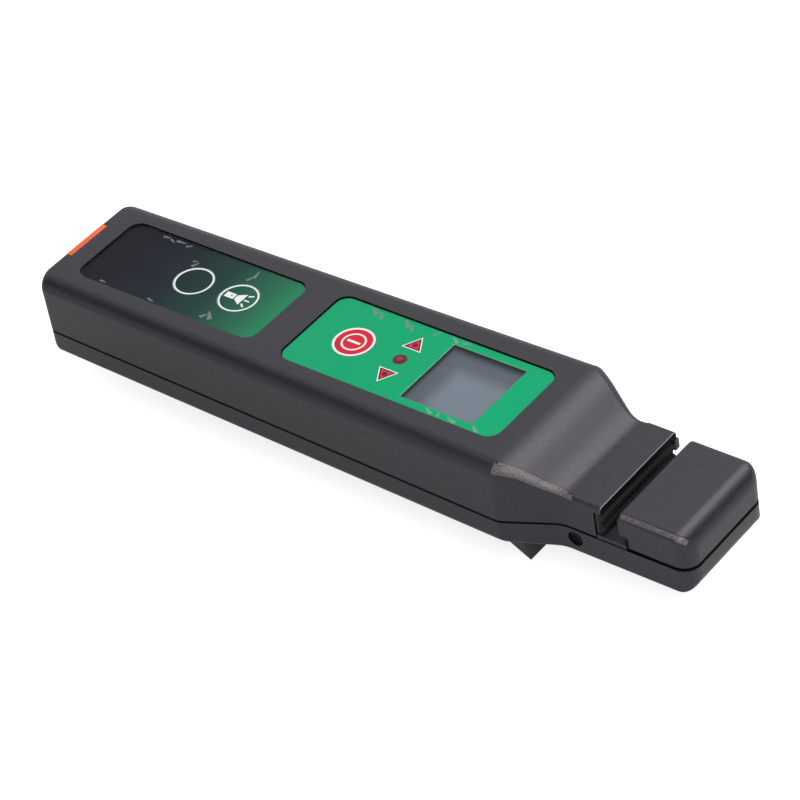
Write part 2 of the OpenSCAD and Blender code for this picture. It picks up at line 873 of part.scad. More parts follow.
module port_cover_pin() {
    color(steel_color)
        standing()
            translate([cover_hinge_x, 0, cover_hinge_z])
                bar_y(-cover_w/2 - cover_pin_in, cover_w/2 + cover_pin_in, cover_pin_d/2);
}

// A screw that points up, with a cross in its head
module screw(l) {
    difference() {
        union() {
            bar_z(screw_seat - screw_head_h, screw_seat, screw_head_d/2);
            bar_z(screw_seat - screw_head_h, screw_seat + l, screw_d/2);
        }
        for (turn = [0, 90])
            rotate([0, 0, turn])
                translate([0, 0, screw_seat - screw_head_h])
                    cube([drive_l, drive_w, 2*drive_t], center = true);
    }
}

module case_screws() {
    color(steel_color)
        standing()
            screw_places(case_screw_xs)
                screw(case_screw_l);
}

module head_screws() {
    color(steel_color)
        standing()
            screw_places([head_screw_x])
                screw(head_screw_l);
}

// Face

module panel_plate(x0, x1, w) {
    translate([(x0 + x1)/2, 0, recess_floor])
        linear_extrude(panel_t)
            rounded_rect(x1 - x0, w, panel_r);
}

module rear_overlay() {
    color(navy_color)
        standing()
            difference() {
                panel_plate(rear_x0, rear_x1, rear_w);
                key_places()
                    bar_z(recess_floor - over, handle_h, key_r + key_line);
            }
}

module display_overlay() {
    color(green_color)
        standing()
            difference() {
                panel_plate(display_x0, display_x1, display_w);
                key_places()
                    bar_z(recess_floor - over, handle_h, key_r + key_line);
                arrow_lamp_places()
                    bar_z(recess_floor - over, handle_h, arrow_lamp_d/2 + key_line);
                translate([lamps_x, 0, 0])
                    bar_z(recess_floor - over, handle_h, signal_lamp_d/2 + key_line);
                block([window_x0, -window_w/2, recess_floor - over], [window_x1, window_w/2, handle_h]);
            }
}

module key(x) {
    standing()
        translate([x, 0, 0]) {
            bar_z(ceiling_z - gap - flange_t, panel_top, key_r);
            bar_z(ceiling_z - gap - flange_t, ceiling_z - gap, key_r + flange_out*face);
            bar_z(switch_top - stem_in, ceiling_z - gap, stem_d/2);
        }
}

module vfl_key() {
    color(navy_color)
        key(vfl_key_x);
}

module torch_key() {
    color(green_color)
        key(torch_key_x);
}

module power_key() {
    color(red_color)
        key(power_key_x);
}

module key_switches() {
    color(black_color)
        standing()
            key_places()
                difference() {
                    block([-switch_w/2, -switch_w/2, pcb_top], [switch_w/2, switch_w/2, switch_top]);
                    bar_z(switch_top - stem_in - key_travel - gap, switch_top + over, stem_d/2 + gap/2);
                }
}

module lcd_window() {
    color(clear_color)
        standing()
            block([window_x0 - window_ledge, -window_w/2 - window_ledge, recess_floor - window_t],
                [window_x1 + window_ledge, window_w/2 + window_ledge, recess_floor]);
}

module lcd_module() {
    color(glass_color)
        standing()
            difference() {
                block([window_x0 - module_out, -window_w/2 - module_out_y, pcb_top],
                    [window_x1 + module_out, window_w/2 + module_out_y, module_top]);
                block([window_x0 - module_out + module_bezel, -window_w/2 - module_out_y + module_bezel,
                       module_top - module_well],
                    [window_x1 + module_out - module_bezel, window_w/2 + module_out_y - module_bezel,
                       module_top + over]);
            }
}

module direction_leds() {
    color(red_color)
        standing()
            arrow_lamp_places()
                bar_z(pcb_top, panel_top - lamp_low, arrow_lamp_d/2);
}

module signal_led() {
    color(red_color)
        standing()
            translate([lamps_x, 0, 0])
                bar_z(pcb_top, panel_top - lamp_low, signal_lamp_d/2);
}

// Tail

module vfl_port_sleeve() {
    color(steel_color)
        standing()
            translate([0, 0, port_z])
                difference() {
                    bar_x(port_x, port_x + sleeve_l, sleeve_d/2);
                    bar_x(port_x - over, port_x + sleeve_l + over, ferrule_d/2);
                }
}

module laser_module() {
    color(brass_color)
        standing()
            translate([0, 0, port_z])
                difference() {
                    bar_x(laser_x0, laser_x1, laser_d/2);
                    bar_x(laser_x0 - over, laser_x0 + laser_d/2, light_d/2);
                }
}

module torch_led() {
    color(clear_color)
        standing() {
            block([cavity_x + gap, torch_y - torch_block/2, port_z - torch_block/2],
                [cavity_x + gap + torch_block_l, torch_y + torch_block/2, pcb_low]);
            translate([0, torch_y, port_z])
                bar_x(cavity_x - torch_led_reach + gap, cavity_x + 2*gap, torch_led_d/2);
        }
}

module torch_lens() {
    color(clear_color)
        standing()
            translate([0, torch_y, port_z])
                bar_x(tail_x + lens_out, tail_x + lens_in, torch_d/2);
}

// Board and power

module main_pcb() {
    color(board_color)
        standing() {
            block([pcb_x0, -pcb_half, pcb_low], [pcb_wide_x + sink, pcb_half, pcb_top]);
            block([pcb_wide_x, -pcb_half_wide, pcb_low], [pcb_x1, pcb_half_wide, pcb_top]);
        }
}

module board_chips() {
    color(black_color)
        standing()
            for (x = chip_xs)
                translate([x, 0, 0])
                    block([-chip_w/2, -chip_w/2, pcb_low - chip_h], [chip_w/2, chip_w/2, pcb_low]);
}

module shield_can() {
    color(steel_color)
        standing()
            translate([torch_key_x + can_ahead*face, 0, 0])
                block([0, -can_w/2, pcb_top], [can_l*face, can_w/2, pcb_top + can_h]);
}

module buzzer() {
    color(black_color)
        standing()
            translate([lamps_x - buzzer_d/3, 0, 0])
                difference() {
                    bar_z(pcb_low - buzzer_h, pcb_low, buzzer_d/2);
                    bar_z(pcb_low - buzzer_h - over, pcb_low - buzzer_h/2, buzzer_hole_d/2);
                }
}

module cell_places() {
    for (side = [-1, 1])
        translate([0, side*cell_y, cell_z])
            children();
}

module battery_cells() {
    color(steel_color)
        standing()
            cell_places() {
                bar_x(cell_x0, cell_x1 - cell_button_l, cell_d/2);
                bar_x(cell_x0, cell_x1, cell_button_d/2);
            }
}

module battery_tray() {
    color(black_color)
        standing()
            difference() {
                block([tray_x0, -tray_half, floor_t], [tray_x1, tray_half, tray_roof_z + tray_wall]);
                block([tray_x0 + tray_wall, -tray_half + tray_wall, floor_t - over],
                    [tray_x1 - tray_wall, tray_half - tray_wall, tray_roof_z]);
            }
}

module battery_contacts() {
    color(steel_color)
        standing()
            cell_places()
                for (x = [tray_x0 + tray_wall, cell_x1])
                    block([x, -contact_w/2, -contact_w/2], [x + contact_t, contact_w/2, contact_w/2]);
}

// A coil spring that stands on z = 0, of height h
module coil(r, wire_r, h, turns, steps, sides) {
    n = turns*steps;
    loft([for (k = [0:n]) let (a = 360*k/steps, z = wire_r + (h - 2*wire_r)*k/n)
        [for (j = [0:sides - 1]) let (b = 360*j/sides, d = r + wire_r*cos(b))
            [d*cos(a), d*sin(a), z + wire_r*sin(b)]]]);
}

module battery_springs() {
    color(steel_color)
        standing()
            cell_places()
                translate([tray_x0 + tray_wall + contact_t, 0, 0])
                    rotate([0, 90, 0])
                        coil(cell_spring_r, cell_wire_r, cell_spring_l, cell_spring_turns, 12, 6);
}

// Trigger and jaw

module trigger() {
    color(casing_color)
        standing()
            difference() {
                union() {
                    across(trigger_w)
                        polygon([[tip_x, -trigger_drop],
                            [tip_x - ramp_l, -trigger_drop + ramp_l*tan(ramp_angle)],
                            [root_x, -floor_t], [root_x, root_z], [root_x + knee_l, knee_z],
                            [front_x - lever_half_w, pivot_z + arm_half_z], [front_x, pivot_z + arm_half_z],
                            [front_x, 0]]);
                    block([spring_x - spring_pad_half, -spring_pad_half, pivot_z - arm_half_z],
                        [spring_x + spring_pad_half, spring_pad_half, pivot_z + arm_half_z]);
                    both_sides()
                        block([front_x - root_l, arm_in, pivot_z - arm_half_z],
                            [pivot_x, arm_out, pivot_z + arm_half_z]);
                    translate([pivot_x, 0, pivot_z])
                        bar_y(-hub_half, hub_half, hub_r);
                    block([pivot_x - lever_half_t, -lever_half_w, pivot_z],
                        [pivot_x + lever_half_t, lever_half_w, drive_z]);
                    translate([pivot_x, 0, drive_z])
                        bar_y(-lever_half_w, lever_half_w, lever_half_t);
                }
                translate([pivot_x, 0, pivot_z])
                    bar_y(-neck_w, neck_w, pivot_d/2 + run_fit);
                translate([pivot_x, 0, drive_z])
                    bar_y(-neck_w, neck_w, drive_d/2 + seat_fit);
                translate([spring_x, 0, 0])
                    bar_z(pivot_z + arm_half_z - spring_cup_t, handle_h, spring_r + spring_wire_r + gap);
            }
}

module trigger_pivot_pin() {
    color(steel_color)
        standing()
            translate([pivot_x, 0, pivot_z])
                bar_y(-neck_w/2 + pivot_hole_t - pin_proud, neck_w/2 - pivot_hole_t + pin_proud, pivot_d/2);
}

module pivot_clips() {
    color(steel_color)
        standing()
            translate([pivot_x, 0, pivot_z])
                both_sides()
                    difference() {
                        bar_y(hub_half + gap, hub_half + gap + clip_t, clip_r);
                        bar_y(hub_half, hub_half + 2*over, pivot_d/2 + seat_fit);
                    }
}

module jaw_drive_pin() {
    color(steel_color)
        standing()
            translate([pivot_x, 0, drive_z])
                bar_y(-drive_half, drive_half, drive_d/2);
}

module clamp_jaw() {
    color(casing_color)
        standing()
            difference() {
                union() {
                    block([jaw_rear, -jaw_half, jaw_z0], [jaw_front, jaw_half, jaw_z0 + jaw_h]);
                    block([jaw_front - jaw_flange_t, -flange_half, flange_z0], [jaw_front, flange_half, flange_z1]);
                    block([jaw_front - jaw_flange_t, lug_y0, lug_z0], [jaw_front + pad_t, lug_y1, flange_z1]);
                }
                block([pivot_x - pocket_back, -pocket_half, 0], [pivot_x + pocket_ahead, pocket_half, handle_h]);
                block([pivot_x - drive_d/2 - drive_play, -cheek_slot_half, drive_z - drive_sink - drive_d/2 - gap],
                    [pivot_x + drive_d/2 + drive_play, cheek_slot_half, drive_z + drive_d/2 + gap]);
                both_sides()
                    translate([0, rod_y, rod_z])
                        bar_x(jaw_rear - over, jaw_front - rod_bore_ahead, rod_d/2 + run_fit);
            }
}

module jaw_pad() {
    color(black_color)
        standing() {
            block([jaw_front, -flange_half, flange_z0], [jaw_front + pad_base_t, lug_y0 - gap/2, flange_z1]);
            for (z = pad_rib_zs)
                block([jaw_front, -flange_half, z], [jaw_front + pad_t, lug_y0 - gap/2, z + rib_h]);
        }
}

module guide_rods() {
    color(steel_color)
        standing()
            both_sides()
                translate([0, rod_y, rod_z])
                    bar_x(frame_x0, frame_x0 + rod_l, rod_d/2);
}

module mechanism_frame() {
    color(black_color)
        standing()
            difference() {
                union() {
                    block([frame_x0, -frame_half, floor_t], [frame_x1, frame_half, frame_top]);
                    both_sides()
                        block([frame_x0 - frame_foot_l, frame_foot_y, floor_t],
                            [frame_x0 + sink, frame_half, floor_t + frame_foot_t]);
                }
                both_sides() {
                    block([frame_x0 - over, arm_in - arm_play, 0], [frame_x1 + over, arm_out + arm_play, arm_window_z]);
                    translate([0, rod_y, rod_z])
                        bar_x(frame_x0 - over, frame_x1 + over, rod_d/2 + seat_fit);
                }
            }
}

module slot_bed() {
    color(black_color)
        standing()
            difference() {
                block([bed_x0, -neck_w/2 + wall + gap, bed_top - bed_t], [block_x - gap, neck_w/2 - wall - gap, bed_top]);
                block([bed_x0 - over, -pocket_half, 0], [bed_rib_x, pocket_half, handle_h]);
            }
}

module return_spring() {
    color(steel_color)
        standing()
            translate([spring_x, 0, pivot_z + arm_half_z - spring_cup_t])
                coil(spring_r, spring_wire_r, ceiling_z - pivot_z - arm_half_z + spring_cup_t, spring_turns, 12, 6);
}

// Head

module diode_places() {
    for (side = [-1, 1])
        translate([0, side*diode_y, diode_z])
            children();
}

module detector_anvil() {
    color(black_color)
        standing()
            difference() {
                union() {
                    block([block_x, -anvil_half, anvil_z0], [block_x + wall + anvil_flange_t, anvil_half, anvil_z1]);
                    block([block_x + wall, -anvil_half - anvil_flange_out, anvil_z0 - gap],
                        [block_x + wall + anvil_flange_t, anvil_half + anvil_flange_out, anvil_z1 + gap]);
                }
                for (z = pad_rib_zs)
                    block([block_x - over, -anvil_half - over, z], [block_x + anvil_groove_t, anvil_half + over, z + rib_h]);
                diode_places() {
                    bar_x(block_x - over, detector_x, anvil_light_d/2);
                    bar_x(block_x + wall, detector_x, diode_d/2 + gap/2);
                }
            }
}

module photodiodes() {
    color(steel_color)
        standing()
            diode_places()
                bar_x(block_x + wall + gap/2, detector_x, diode_d/2);
}

module detector_pcb() {
    color(board_color)
        standing()
            block([detector_x, -detector_half, floor_t], [detector_x + detector_t, detector_half, neck_ceiling_z - detector_gap]);
}

module sensor_cable() {
    color(black_color)
        standing()
            translate([0, cable_y, 0])
                across(cable_w)
                    polygon([[detector_x, cable_z], [frame_x0, cable_z],
                        [pcb_x1 - cable_end_back - cable_t, pcb_low], [pcb_x1 - cable_end_back + cable_t, pcb_low],
                        [frame_x0 + cable_t, cable_z + cable_t], [detector_x, cable_z + cable_t]]);
}

top_shell();
bottom_shell();
head_cap();
battery_door();
port_cover();
port_cover_pin();
case_screws();
head_screws();
rear_overlay();
display_overlay();
vfl_key();
torch_key();
power_key();
key_switches();
lcd_window();
lcd_module();
direction_leds();
signal_led();
vfl_port_sleeve();
laser_module();
torch_led();
torch_lens();
main_pcb();
board_chips();
shield_can();
buzzer();
battery_cells();
battery_tray();
battery_contacts();
battery_springs();
trigger();
trigger_pivot_pin();
pivot_clips();
jaw_drive_pin();
clamp_jaw();
jaw_pad();
guide_rods();
mechanism_frame();
slot_bed();
return_spring();
detector_anvil();
photodiodes();
detector_pcb();
sensor_cable();
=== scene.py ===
# %% [markdown]
# # An optical fibre identifier, dressed for its portrait
#
# The object is a hand tool of about 200 mm. A technician pushes a fibre into the slot near its
# head, pulls the trigger underneath, and the clamp bends the fibre so that a little light leaks
# out for the detectors. The CAD model already has every piece at its true place. This notebook
# gives the pieces their looks: softened edges, paint, printed labels, lamps, rubber and metal.
#
# The first cell loads the CAD model. Its sizes stay fixed, so its box is measured straight away.
# Blender works in metres, so a length in millimetres is written as a number times mm.

# %% Load the model
import json
import math

import bpy
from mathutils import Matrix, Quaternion, Vector

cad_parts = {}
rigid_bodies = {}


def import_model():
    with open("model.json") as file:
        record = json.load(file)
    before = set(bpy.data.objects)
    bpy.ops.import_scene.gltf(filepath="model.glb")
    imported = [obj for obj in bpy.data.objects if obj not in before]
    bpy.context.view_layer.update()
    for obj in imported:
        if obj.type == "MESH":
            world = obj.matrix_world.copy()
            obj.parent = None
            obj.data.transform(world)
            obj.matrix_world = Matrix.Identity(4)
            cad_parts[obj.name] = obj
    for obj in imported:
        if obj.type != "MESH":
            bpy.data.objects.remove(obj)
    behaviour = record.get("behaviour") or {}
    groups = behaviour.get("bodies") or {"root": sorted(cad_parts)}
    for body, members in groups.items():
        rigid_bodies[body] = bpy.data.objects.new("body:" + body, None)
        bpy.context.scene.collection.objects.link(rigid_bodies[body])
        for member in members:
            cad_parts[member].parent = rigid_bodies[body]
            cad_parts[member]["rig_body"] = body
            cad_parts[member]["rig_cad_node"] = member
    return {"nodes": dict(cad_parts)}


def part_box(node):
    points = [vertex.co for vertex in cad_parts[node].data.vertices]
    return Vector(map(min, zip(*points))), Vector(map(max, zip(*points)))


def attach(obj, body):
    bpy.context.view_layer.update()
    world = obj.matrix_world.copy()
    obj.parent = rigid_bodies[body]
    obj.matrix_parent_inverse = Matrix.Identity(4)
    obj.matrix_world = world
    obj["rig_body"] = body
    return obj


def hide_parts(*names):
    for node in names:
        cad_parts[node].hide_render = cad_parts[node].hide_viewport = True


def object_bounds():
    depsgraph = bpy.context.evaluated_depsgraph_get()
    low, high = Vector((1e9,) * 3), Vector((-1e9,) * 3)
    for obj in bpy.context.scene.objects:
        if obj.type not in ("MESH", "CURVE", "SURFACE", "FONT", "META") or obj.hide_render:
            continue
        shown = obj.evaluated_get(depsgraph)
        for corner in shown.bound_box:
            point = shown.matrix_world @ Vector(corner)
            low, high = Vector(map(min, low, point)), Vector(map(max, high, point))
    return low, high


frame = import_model()
nodes = frame["nodes"]
cad_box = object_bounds()
mm = 0.001
print("pieces:", len(nodes), " size in mm:", [round((b - a)/mm, 1) for a, b in zip(*cad_box)])

# %% [markdown]
# ## Selecting, as a hand would
#
# Blender's operators act on whatever is selected, and on the active object. A few small helpers
# make each step safe: one empties the selection and picks a single object, one opens it for
# editing and one picks faces by where they are and which way they look. The last two settle a
# finished piece and turn its faces outwards.

# %% Helpers for selecting
def select_only(piece):
    if bpy.context.mode != "OBJECT":
        bpy.ops.object.mode_set(mode="OBJECT")
    bpy.ops.object.select_all(action="DESELECT")
    piece.hide_viewport = False
    piece.select_set(True)
    bpy.context.view_layer.objects.active = piece


def start_editing(piece, kind="FACE"):
    select_only(piece)
    bpy.ops.object.mode_set(mode="EDIT")
    bpy.ops.mesh.select_mode(type=kind)
    bpy.ops.mesh.select_all(action="DESELECT")


def stop_editing():
    bpy.ops.object.mode_set(mode="OBJECT")


def pick_faces(piece, wanted):
    """Selects the faces whose centre and normal pass the test, and stays in Edit Mode."""
    start_editing(piece)
    bpy.ops.object.mode_set(mode="OBJECT")
    for face in piece.data.polygons:
        face.select = bool(wanted(face.center, face.normal))
    bpy.ops.object.mode_set(mode="EDIT")


def settle(piece, name, body):
    """Puts the piece's place into its mesh, names it and lets it move with its body."""
    select_only(piece)
    bpy.ops.object.transform_apply(location=True, rotation=True, scale=True)
    piece.name = piece.data.name = name
    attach(piece, body)


def outward(piece):
    start_editing(piece)
    bpy.ops.mesh.select_all(action="SELECT")
    bpy.ops.mesh.normals_make_consistent(inside=False)
    stop_editing()


# %% [markdown]
# ## The camera
#
# The photograph looks down on the tool from its near side, with a long lens. The place and angle
# were found by lining up the casing's corners with the picture.

# %% Camera
camera_data = bpy.data.cameras.new("camera")
camera_data.lens = 153.0086
camera_data.sensor_width = 36
camera_data.clip_start = 0.05
camera = bpy.data.objects.new("camera", camera_data)
bpy.context.scene.collection.objects.link(camera)
camera.location = (0.459227, -0.468030, 0.554315)
camera.rotation_euler = [math.radians(angle) for angle in (50.47376, 8.03287, 37.70203)]
bpy.context.scene.camera = camera
print("camera is", round(camera.location.length, 3), "m from the middle")

# %% [markdown]
# ## Colours, as they are read off a swatch
#
# Shaders work with linear light, but a swatch or a picture gives screen values from 0 to 255.
# This helper turns one into the other, so each colour below can be written as it looks. The view
# transform Standard shows the colours without a film curve over them.

# %% Swatch to linear colour
def swatch(red, green, blue):
    def linear(v):
        v = v/255
        return v/12.92 if v <= 0.04045 else ((v + 0.055)/1.055)**2.4
    return (linear(red), linear(green), linear(blue), 1)


bpy.context.scene.view_settings.view_transform = "Standard"
print("a middle grey in linear light:", round(swatch(128, 128, 128)[0], 3))

# %% [markdown]
# ## The white room
#
# The room is plain white to the camera and to reflections, while it lights the object at a lower
# strength, so that colours come out as they are written. A Light Path node tells the two kinds
# of ray apart.

# %% Rays that see the white
def seen_directly(tree):
    """1 for rays from the camera, from a reflection or through glass, and 0 for the rest."""
    path = tree.nodes.new("ShaderNodeLightPath")
    first = tree.nodes.new("ShaderNodeMath")
    first.operation = "MAXIMUM"
    tree.links.new(path.outputs["Is Camera Ray"], first.inputs[0])
    tree.links.new(path.outputs["Is Glossy Ray"], first.inputs[1])
    second = tree.nodes.new("ShaderNodeMath")
    second.operation = "MAXIMUM"
    tree.links.new(first.outputs[0], second.inputs[0])
    tree.links.new(path.outputs["Is Transmission Ray"], second.inputs[1])
    return second.outputs[0]


# %% Room light
room_strength = 0.34
world = bpy.data.worlds.new("white_room")
bpy.context.scene.world = world
world.use_nodes = True
tree = world.node_tree
background = tree.nodes["Background"]
background.inputs["Color"].default_value = (1, 1, 1, 1)
strength = tree.nodes.new("ShaderNodeMapRange")
strength.inputs["To Min"].default_value = room_strength
strength.inputs["To Max"].default_value = 1
tree.links.new(seen_directly(tree), strength.inputs["Value"])
tree.links.new(strength.outputs[0], background.inputs["Strength"])
print("the room lights the object at", room_strength)

# %% [markdown]
# ## Two lamps
#
# The softbox hangs behind the tool, where the sloping shoulder mirrors it and so turns pale. The
# front lamp is a tall strip on the near side, turned by 45 degrees in its own plane, for the
# glints on the shoulder's near edge and the head's corner.

# %% Softbox and front lamp
lamp_distance = 0.95


def soft_lamp(name, direction, wide, high, watts, turn=0):
    """A rectangular lamp that looks at the tool's middle, turned in its own plane in degrees."""
    lamp_data = bpy.data.lights.new(name, "AREA")
    lamp_data.shape = "RECTANGLE"
    lamp_data.size = wide
    lamp_data.size_y = high
    lamp_data.energy = watts
    lamp = bpy.data.objects.new(name, lamp_data)
    bpy.context.scene.collection.objects.link(lamp)
    direction = Vector(direction).normalized()
    lamp.location = direction*lamp_distance
    turned = Quaternion((0, 0, 1), math.radians(turn))
    lamp.rotation_euler = (direction.to_track_quat("Z", "Y") @ turned).to_euler()
    print(name, "of", watts, "W at z", round(lamp.location.z, 2), "m")


soft_lamp("softbox", (0.17, 0.5, 0.85), 0.6, 0.46, 5)
soft_lamp("front_lamp", (0.56, -0.36, 0.74), 0.36, 0.8, 5, -45)

# %% [markdown]
# ## The floor
#
# The floor is a large plane just under the tool. It is diffuse, so it keeps the soft shadow, and
# some glow is added that only the camera sees, so that it looks nearly white without lighting
# the tool from below.

# %% Floor
floor_grey, floor_glow = 0.86, 0.72
bpy.ops.object.select_all(action="DESELECT")
bpy.ops.mesh.primitive_plane_add(size=8, location=(0, 0, cad_box[0].z - 0.02*mm))
floor = bpy.context.object
floor.name = "floor"
floor_finish = bpy.data.materials.new("pale_floor")
floor_finish.use_nodes = True
tree = floor_finish.node_tree
tree.nodes.clear()
matt = tree.nodes.new("ShaderNodeBsdfDiffuse")
matt.inputs["Color"].default_value = (floor_grey, floor_grey, floor_grey, 1)
glow = tree.nodes.new("ShaderNodeEmission")
glow_level = tree.nodes.new("ShaderNodeMath")
glow_level.operation = "MULTIPLY"
glow_level.inputs[1].default_value = floor_glow
path = tree.nodes.new("ShaderNodeLightPath")
tree.links.new(path.outputs["Is Camera Ray"], glow_level.inputs[0])
tree.links.new(glow_level.outputs[0], glow.inputs["Strength"])
both = tree.nodes.new("ShaderNodeAddShader")
output = tree.nodes.new("ShaderNodeOutputMaterial")
tree.links.new(matt.outputs[0], both.inputs[0])
tree.links.new(glow.outputs[0], both.inputs[1])
tree.links.new(both.outputs[0], output.inputs["Surface"])
floor.data.materials.append(floor_finish)
print("floor at z", round(floor.location.z/mm, 2), "mm")

# %% [markdown]
# ## Two dark cards
#
# A long rounded edge mirrors the white room, and then it has no shape. A photographer hangs a
# dark card where such an edge looks. One stands off the tail end and draws the dark band along
# the near edge of the handle. The other stands off the head and keeps the rounded top of its end
# wall dark. Only reflections see the cards: the camera doesn't, and they throw no shadow.

# %% Dark cards
card_distance = 0.5
card_finish = bpy.data.materials.new("black_card")
card_finish.use_nodes = True
shader = card_finish.node_tree.nodes["Principled BSDF"]
shader.inputs["Base Color"].default_value = (0.005, 0.005, 0.005, 1)
shader.inputs["Roughness"].default_value = 1
shader.inputs["Specular IOR Level"].default_value = 0


def dark_card(name, direction, beside, wide, high):
    """A black card that faces the tool from a direction, moved a few centimetres beside it."""
    direction = Vector(direction).normalized()
    bpy.ops.object.select_all(action="DESELECT")
    bpy.ops.mesh.primitive_plane_add(size=1, location=direction*card_distance + Vector(beside),
                                     rotation=direction.to_track_quat("Z", "Y").to_euler())
    card = bpy.context.object
    card.name = name
    card.scale = (wide, high, 1)
    card.data.materials.append(card_finish)
    card.visible_camera = card.visible_diffuse = False
    card.visible_shadow = card.visible_transmission = False
    print(name, "is", wide, "by", high, "m")


dark_card("card_off_the_tail", (-0.54, -0.5, 0.66), (-0.08, 0, 0), 0.34, 0.42)
dark_card("card_off_the_head", (0.74, 0.5, 0.43), (0.08, 0, 0), 0.38, 0.26)

# %% [markdown]
# ## Finishes from nodes
#
# Each finish starts from one Principled shader. Grain, flecks and wear come from Noise textures
# on Object coordinates, which are in metres here: a scale of 1000 gives features of a
# millimetre. The helpers make one node each, so that a finish reads as a short list of steps.

# %% Helpers for finishes
def new_finish(name, colour, roughness=0.5, metallic=0.0):
    finish = bpy.data.materials.new(name)
    finish.use_nodes = True
    shader = finish.node_tree.nodes["Principled BSDF"]
    shader.inputs["Base Color"].default_value = colour
    shader.inputs["Roughness"].default_value = roughness
    shader.inputs["Metallic"].default_value = metallic
    print("finish:", name)
    return finish, finish.node_tree, shader


def object_place(tree):
    return tree.nodes.new("ShaderNodeTexCoord").outputs["Object"]


def noise(tree, scale, detail=2.0, roughness=0.5):
    node = tree.nodes.new("ShaderNodeTexNoise")
    node.inputs["Scale"].default_value = scale
    node.inputs["Detail"].default_value = detail
    node.inputs["Roughness"].default_value = roughness
    tree.links.new(object_place(tree), node.inputs["Vector"])
    return node.outputs["Fac"]


def spread(tree, value, low, high, out_low=0.0, out_high=1.0):
    """Stretches the values from low to high over the range from out_low to out_high."""
    node = tree.nodes.new("ShaderNodeMapRange")
    node.inputs["From Min"].default_value = low
    node.inputs["From Max"].default_value = high
    node.inputs["To Min"].default_value = out_low
    node.inputs["To Max"].default_value = out_high
    tree.links.new(value, node.inputs["Value"])
    return node.outputs[0]


def blend_colours(tree, share, first, second):
    """Goes from the first colour to the second as share goes from 0 to 1."""
    node = tree.nodes.new("ShaderNodeMix")
    node.data_type = "RGBA"
    for socket, colour in ((node.inputs[6], first), (node.inputs[7], second)):
        if isinstance(colour, tuple):
            socket.default_value = colour
        else:
            tree.links.new(colour, socket)
    tree.links.new(share, node.inputs[0])
    return node.outputs[2]


def shade_of(colour, share):
    """The same colour, darker."""
    return tuple(part*share for part in colour[:3]) + (1,)


def bump(tree, shader, height, distance, strength=1.0):
    node = tree.nodes.new("ShaderNodeBump")
    node.inputs["Distance"].default_value = distance
    node.inputs["Strength"].default_value = strength
    tree.links.new(height, node.inputs["Height"])
    tree.links.new(node.outputs[0], shader.inputs["Normal"])


def paint(piece, finish):
    piece.data.materials.clear()
    piece.data.materials.append(finish)


# %% [markdown]
# ## The casing's paint
#
# The two shells are moulded plastic with a gunmetal soft-sheen paint. Under the lamp it shows a
# fine sparkle: dark ground with paler flecks of a few tenths of a millimetre. One noise gives
# the flecks, a finer one breaks up the gloss, and a slow one keeps large faces from being
# perfectly even.
#
# Along the shoulder's near edge and on the head's near corner, the paint is made paler and
# slightly rough:
# a painted highlight. Lamps alone don't make so clear a band there, so it is a finish of its own.

# %% Gunmetal paint
gunmetal, tree, shader = new_finish("gunmetal_paint", swatch(34, 32, 37), 0.38)
flecks = spread(tree, noise(tree, 3400, 3, 0.7), 0.42, 0.72)
clouds = spread(tree, noise(tree, 35, 2), 0.3, 0.7)
ground = blend_colours(tree, clouds, swatch(21, 21, 28), swatch(25, 25, 32))
tree.links.new(blend_colours(tree, flecks, ground, swatch(50, 48, 53)),
               shader.inputs["Base Color"])
gloss = spread(tree, noise(tree, 2200, 3), 0.3, 0.7, 0.34, 0.44)
tree.links.new(gloss, shader.inputs["Roughness"])
bump(tree, shader, noise(tree, 4200, 2), 0.02*mm, 0.45)
shader.inputs["Specular IOR Level"].default_value = 0.39
shader.inputs["Specular Tint"].default_value = (0.98, 0.935, 1, 1)

# %% Painted highlight
highlight_paint, tree, shader = new_finish("highlight_paint", swatch(72, 69, 71), 0.4)
highlighted = spread(tree, noise(tree, 1700, 4, 0.65), 0.4, 0.6)
tree.links.new(blend_colours(tree, highlighted, swatch(62, 57, 60), swatch(98, 91, 94)),
               shader.inputs["Base Color"])
bump(tree, shader, noise(tree, 2600, 3), 0.03*mm, 0.6)

# %% [markdown]
# ## Softened copies of the CAD pieces
#
# A moulded edge is never knife sharp, and its small rounding is what catches the light. A CAD
# piece itself stays as it is: a copy is merged from loose triangles into one skin, its edges are
# bevelled, and the copy stands in for the piece. A Bevel modifier finds the sharp edges by their
# angle. Where only some edges are wanted, they are picked by their place and bevelled by hand.
#
# Flat neighbours are joined into larger faces first, which gives cleaner bevels. The two long
# shells go without that step, because their walls are slightly curved, and joining would pull
# the faces off that curve and into the pieces inside.

# %% Helpers for softened copies
merge_distance = 0.002*mm
wide_rounding = 0.5


def round_edges(piece, radius, steps, angle, wanted):
    """Rounds the sharp edges whose middle, in mm, passes the test."""
    start_editing(piece, "EDGE")
    bpy.ops.mesh.edges_select_sharp(sharpness=math.radians(angle))
    stop_editing()
    points = piece.data.vertices
    for line in piece.data.edges:
        place = (points[line.vertices[0]].co + points[line.vertices[1]].co)/2/mm
        line.select = bool(line.select and wanted(place))
    bpy.ops.object.mode_set(mode="EDIT")
    bpy.ops.mesh.bevel(offset=radius*mm, segments=steps, affect="EDGES", clamp_overlap=False)
    stop_editing()


def bevel_all(piece, radius, steps, angle):
    rounding = piece.modifiers.new("edges", "BEVEL")
    rounding.width = radius*mm
    rounding.segments = steps
    rounding.limit_method = "ANGLE"
    rounding.angle_limit = math.radians(angle)
    rounding.miter_outer = "MITER_ARC"
    bpy.ops.object.modifier_apply(modifier=rounding.name)


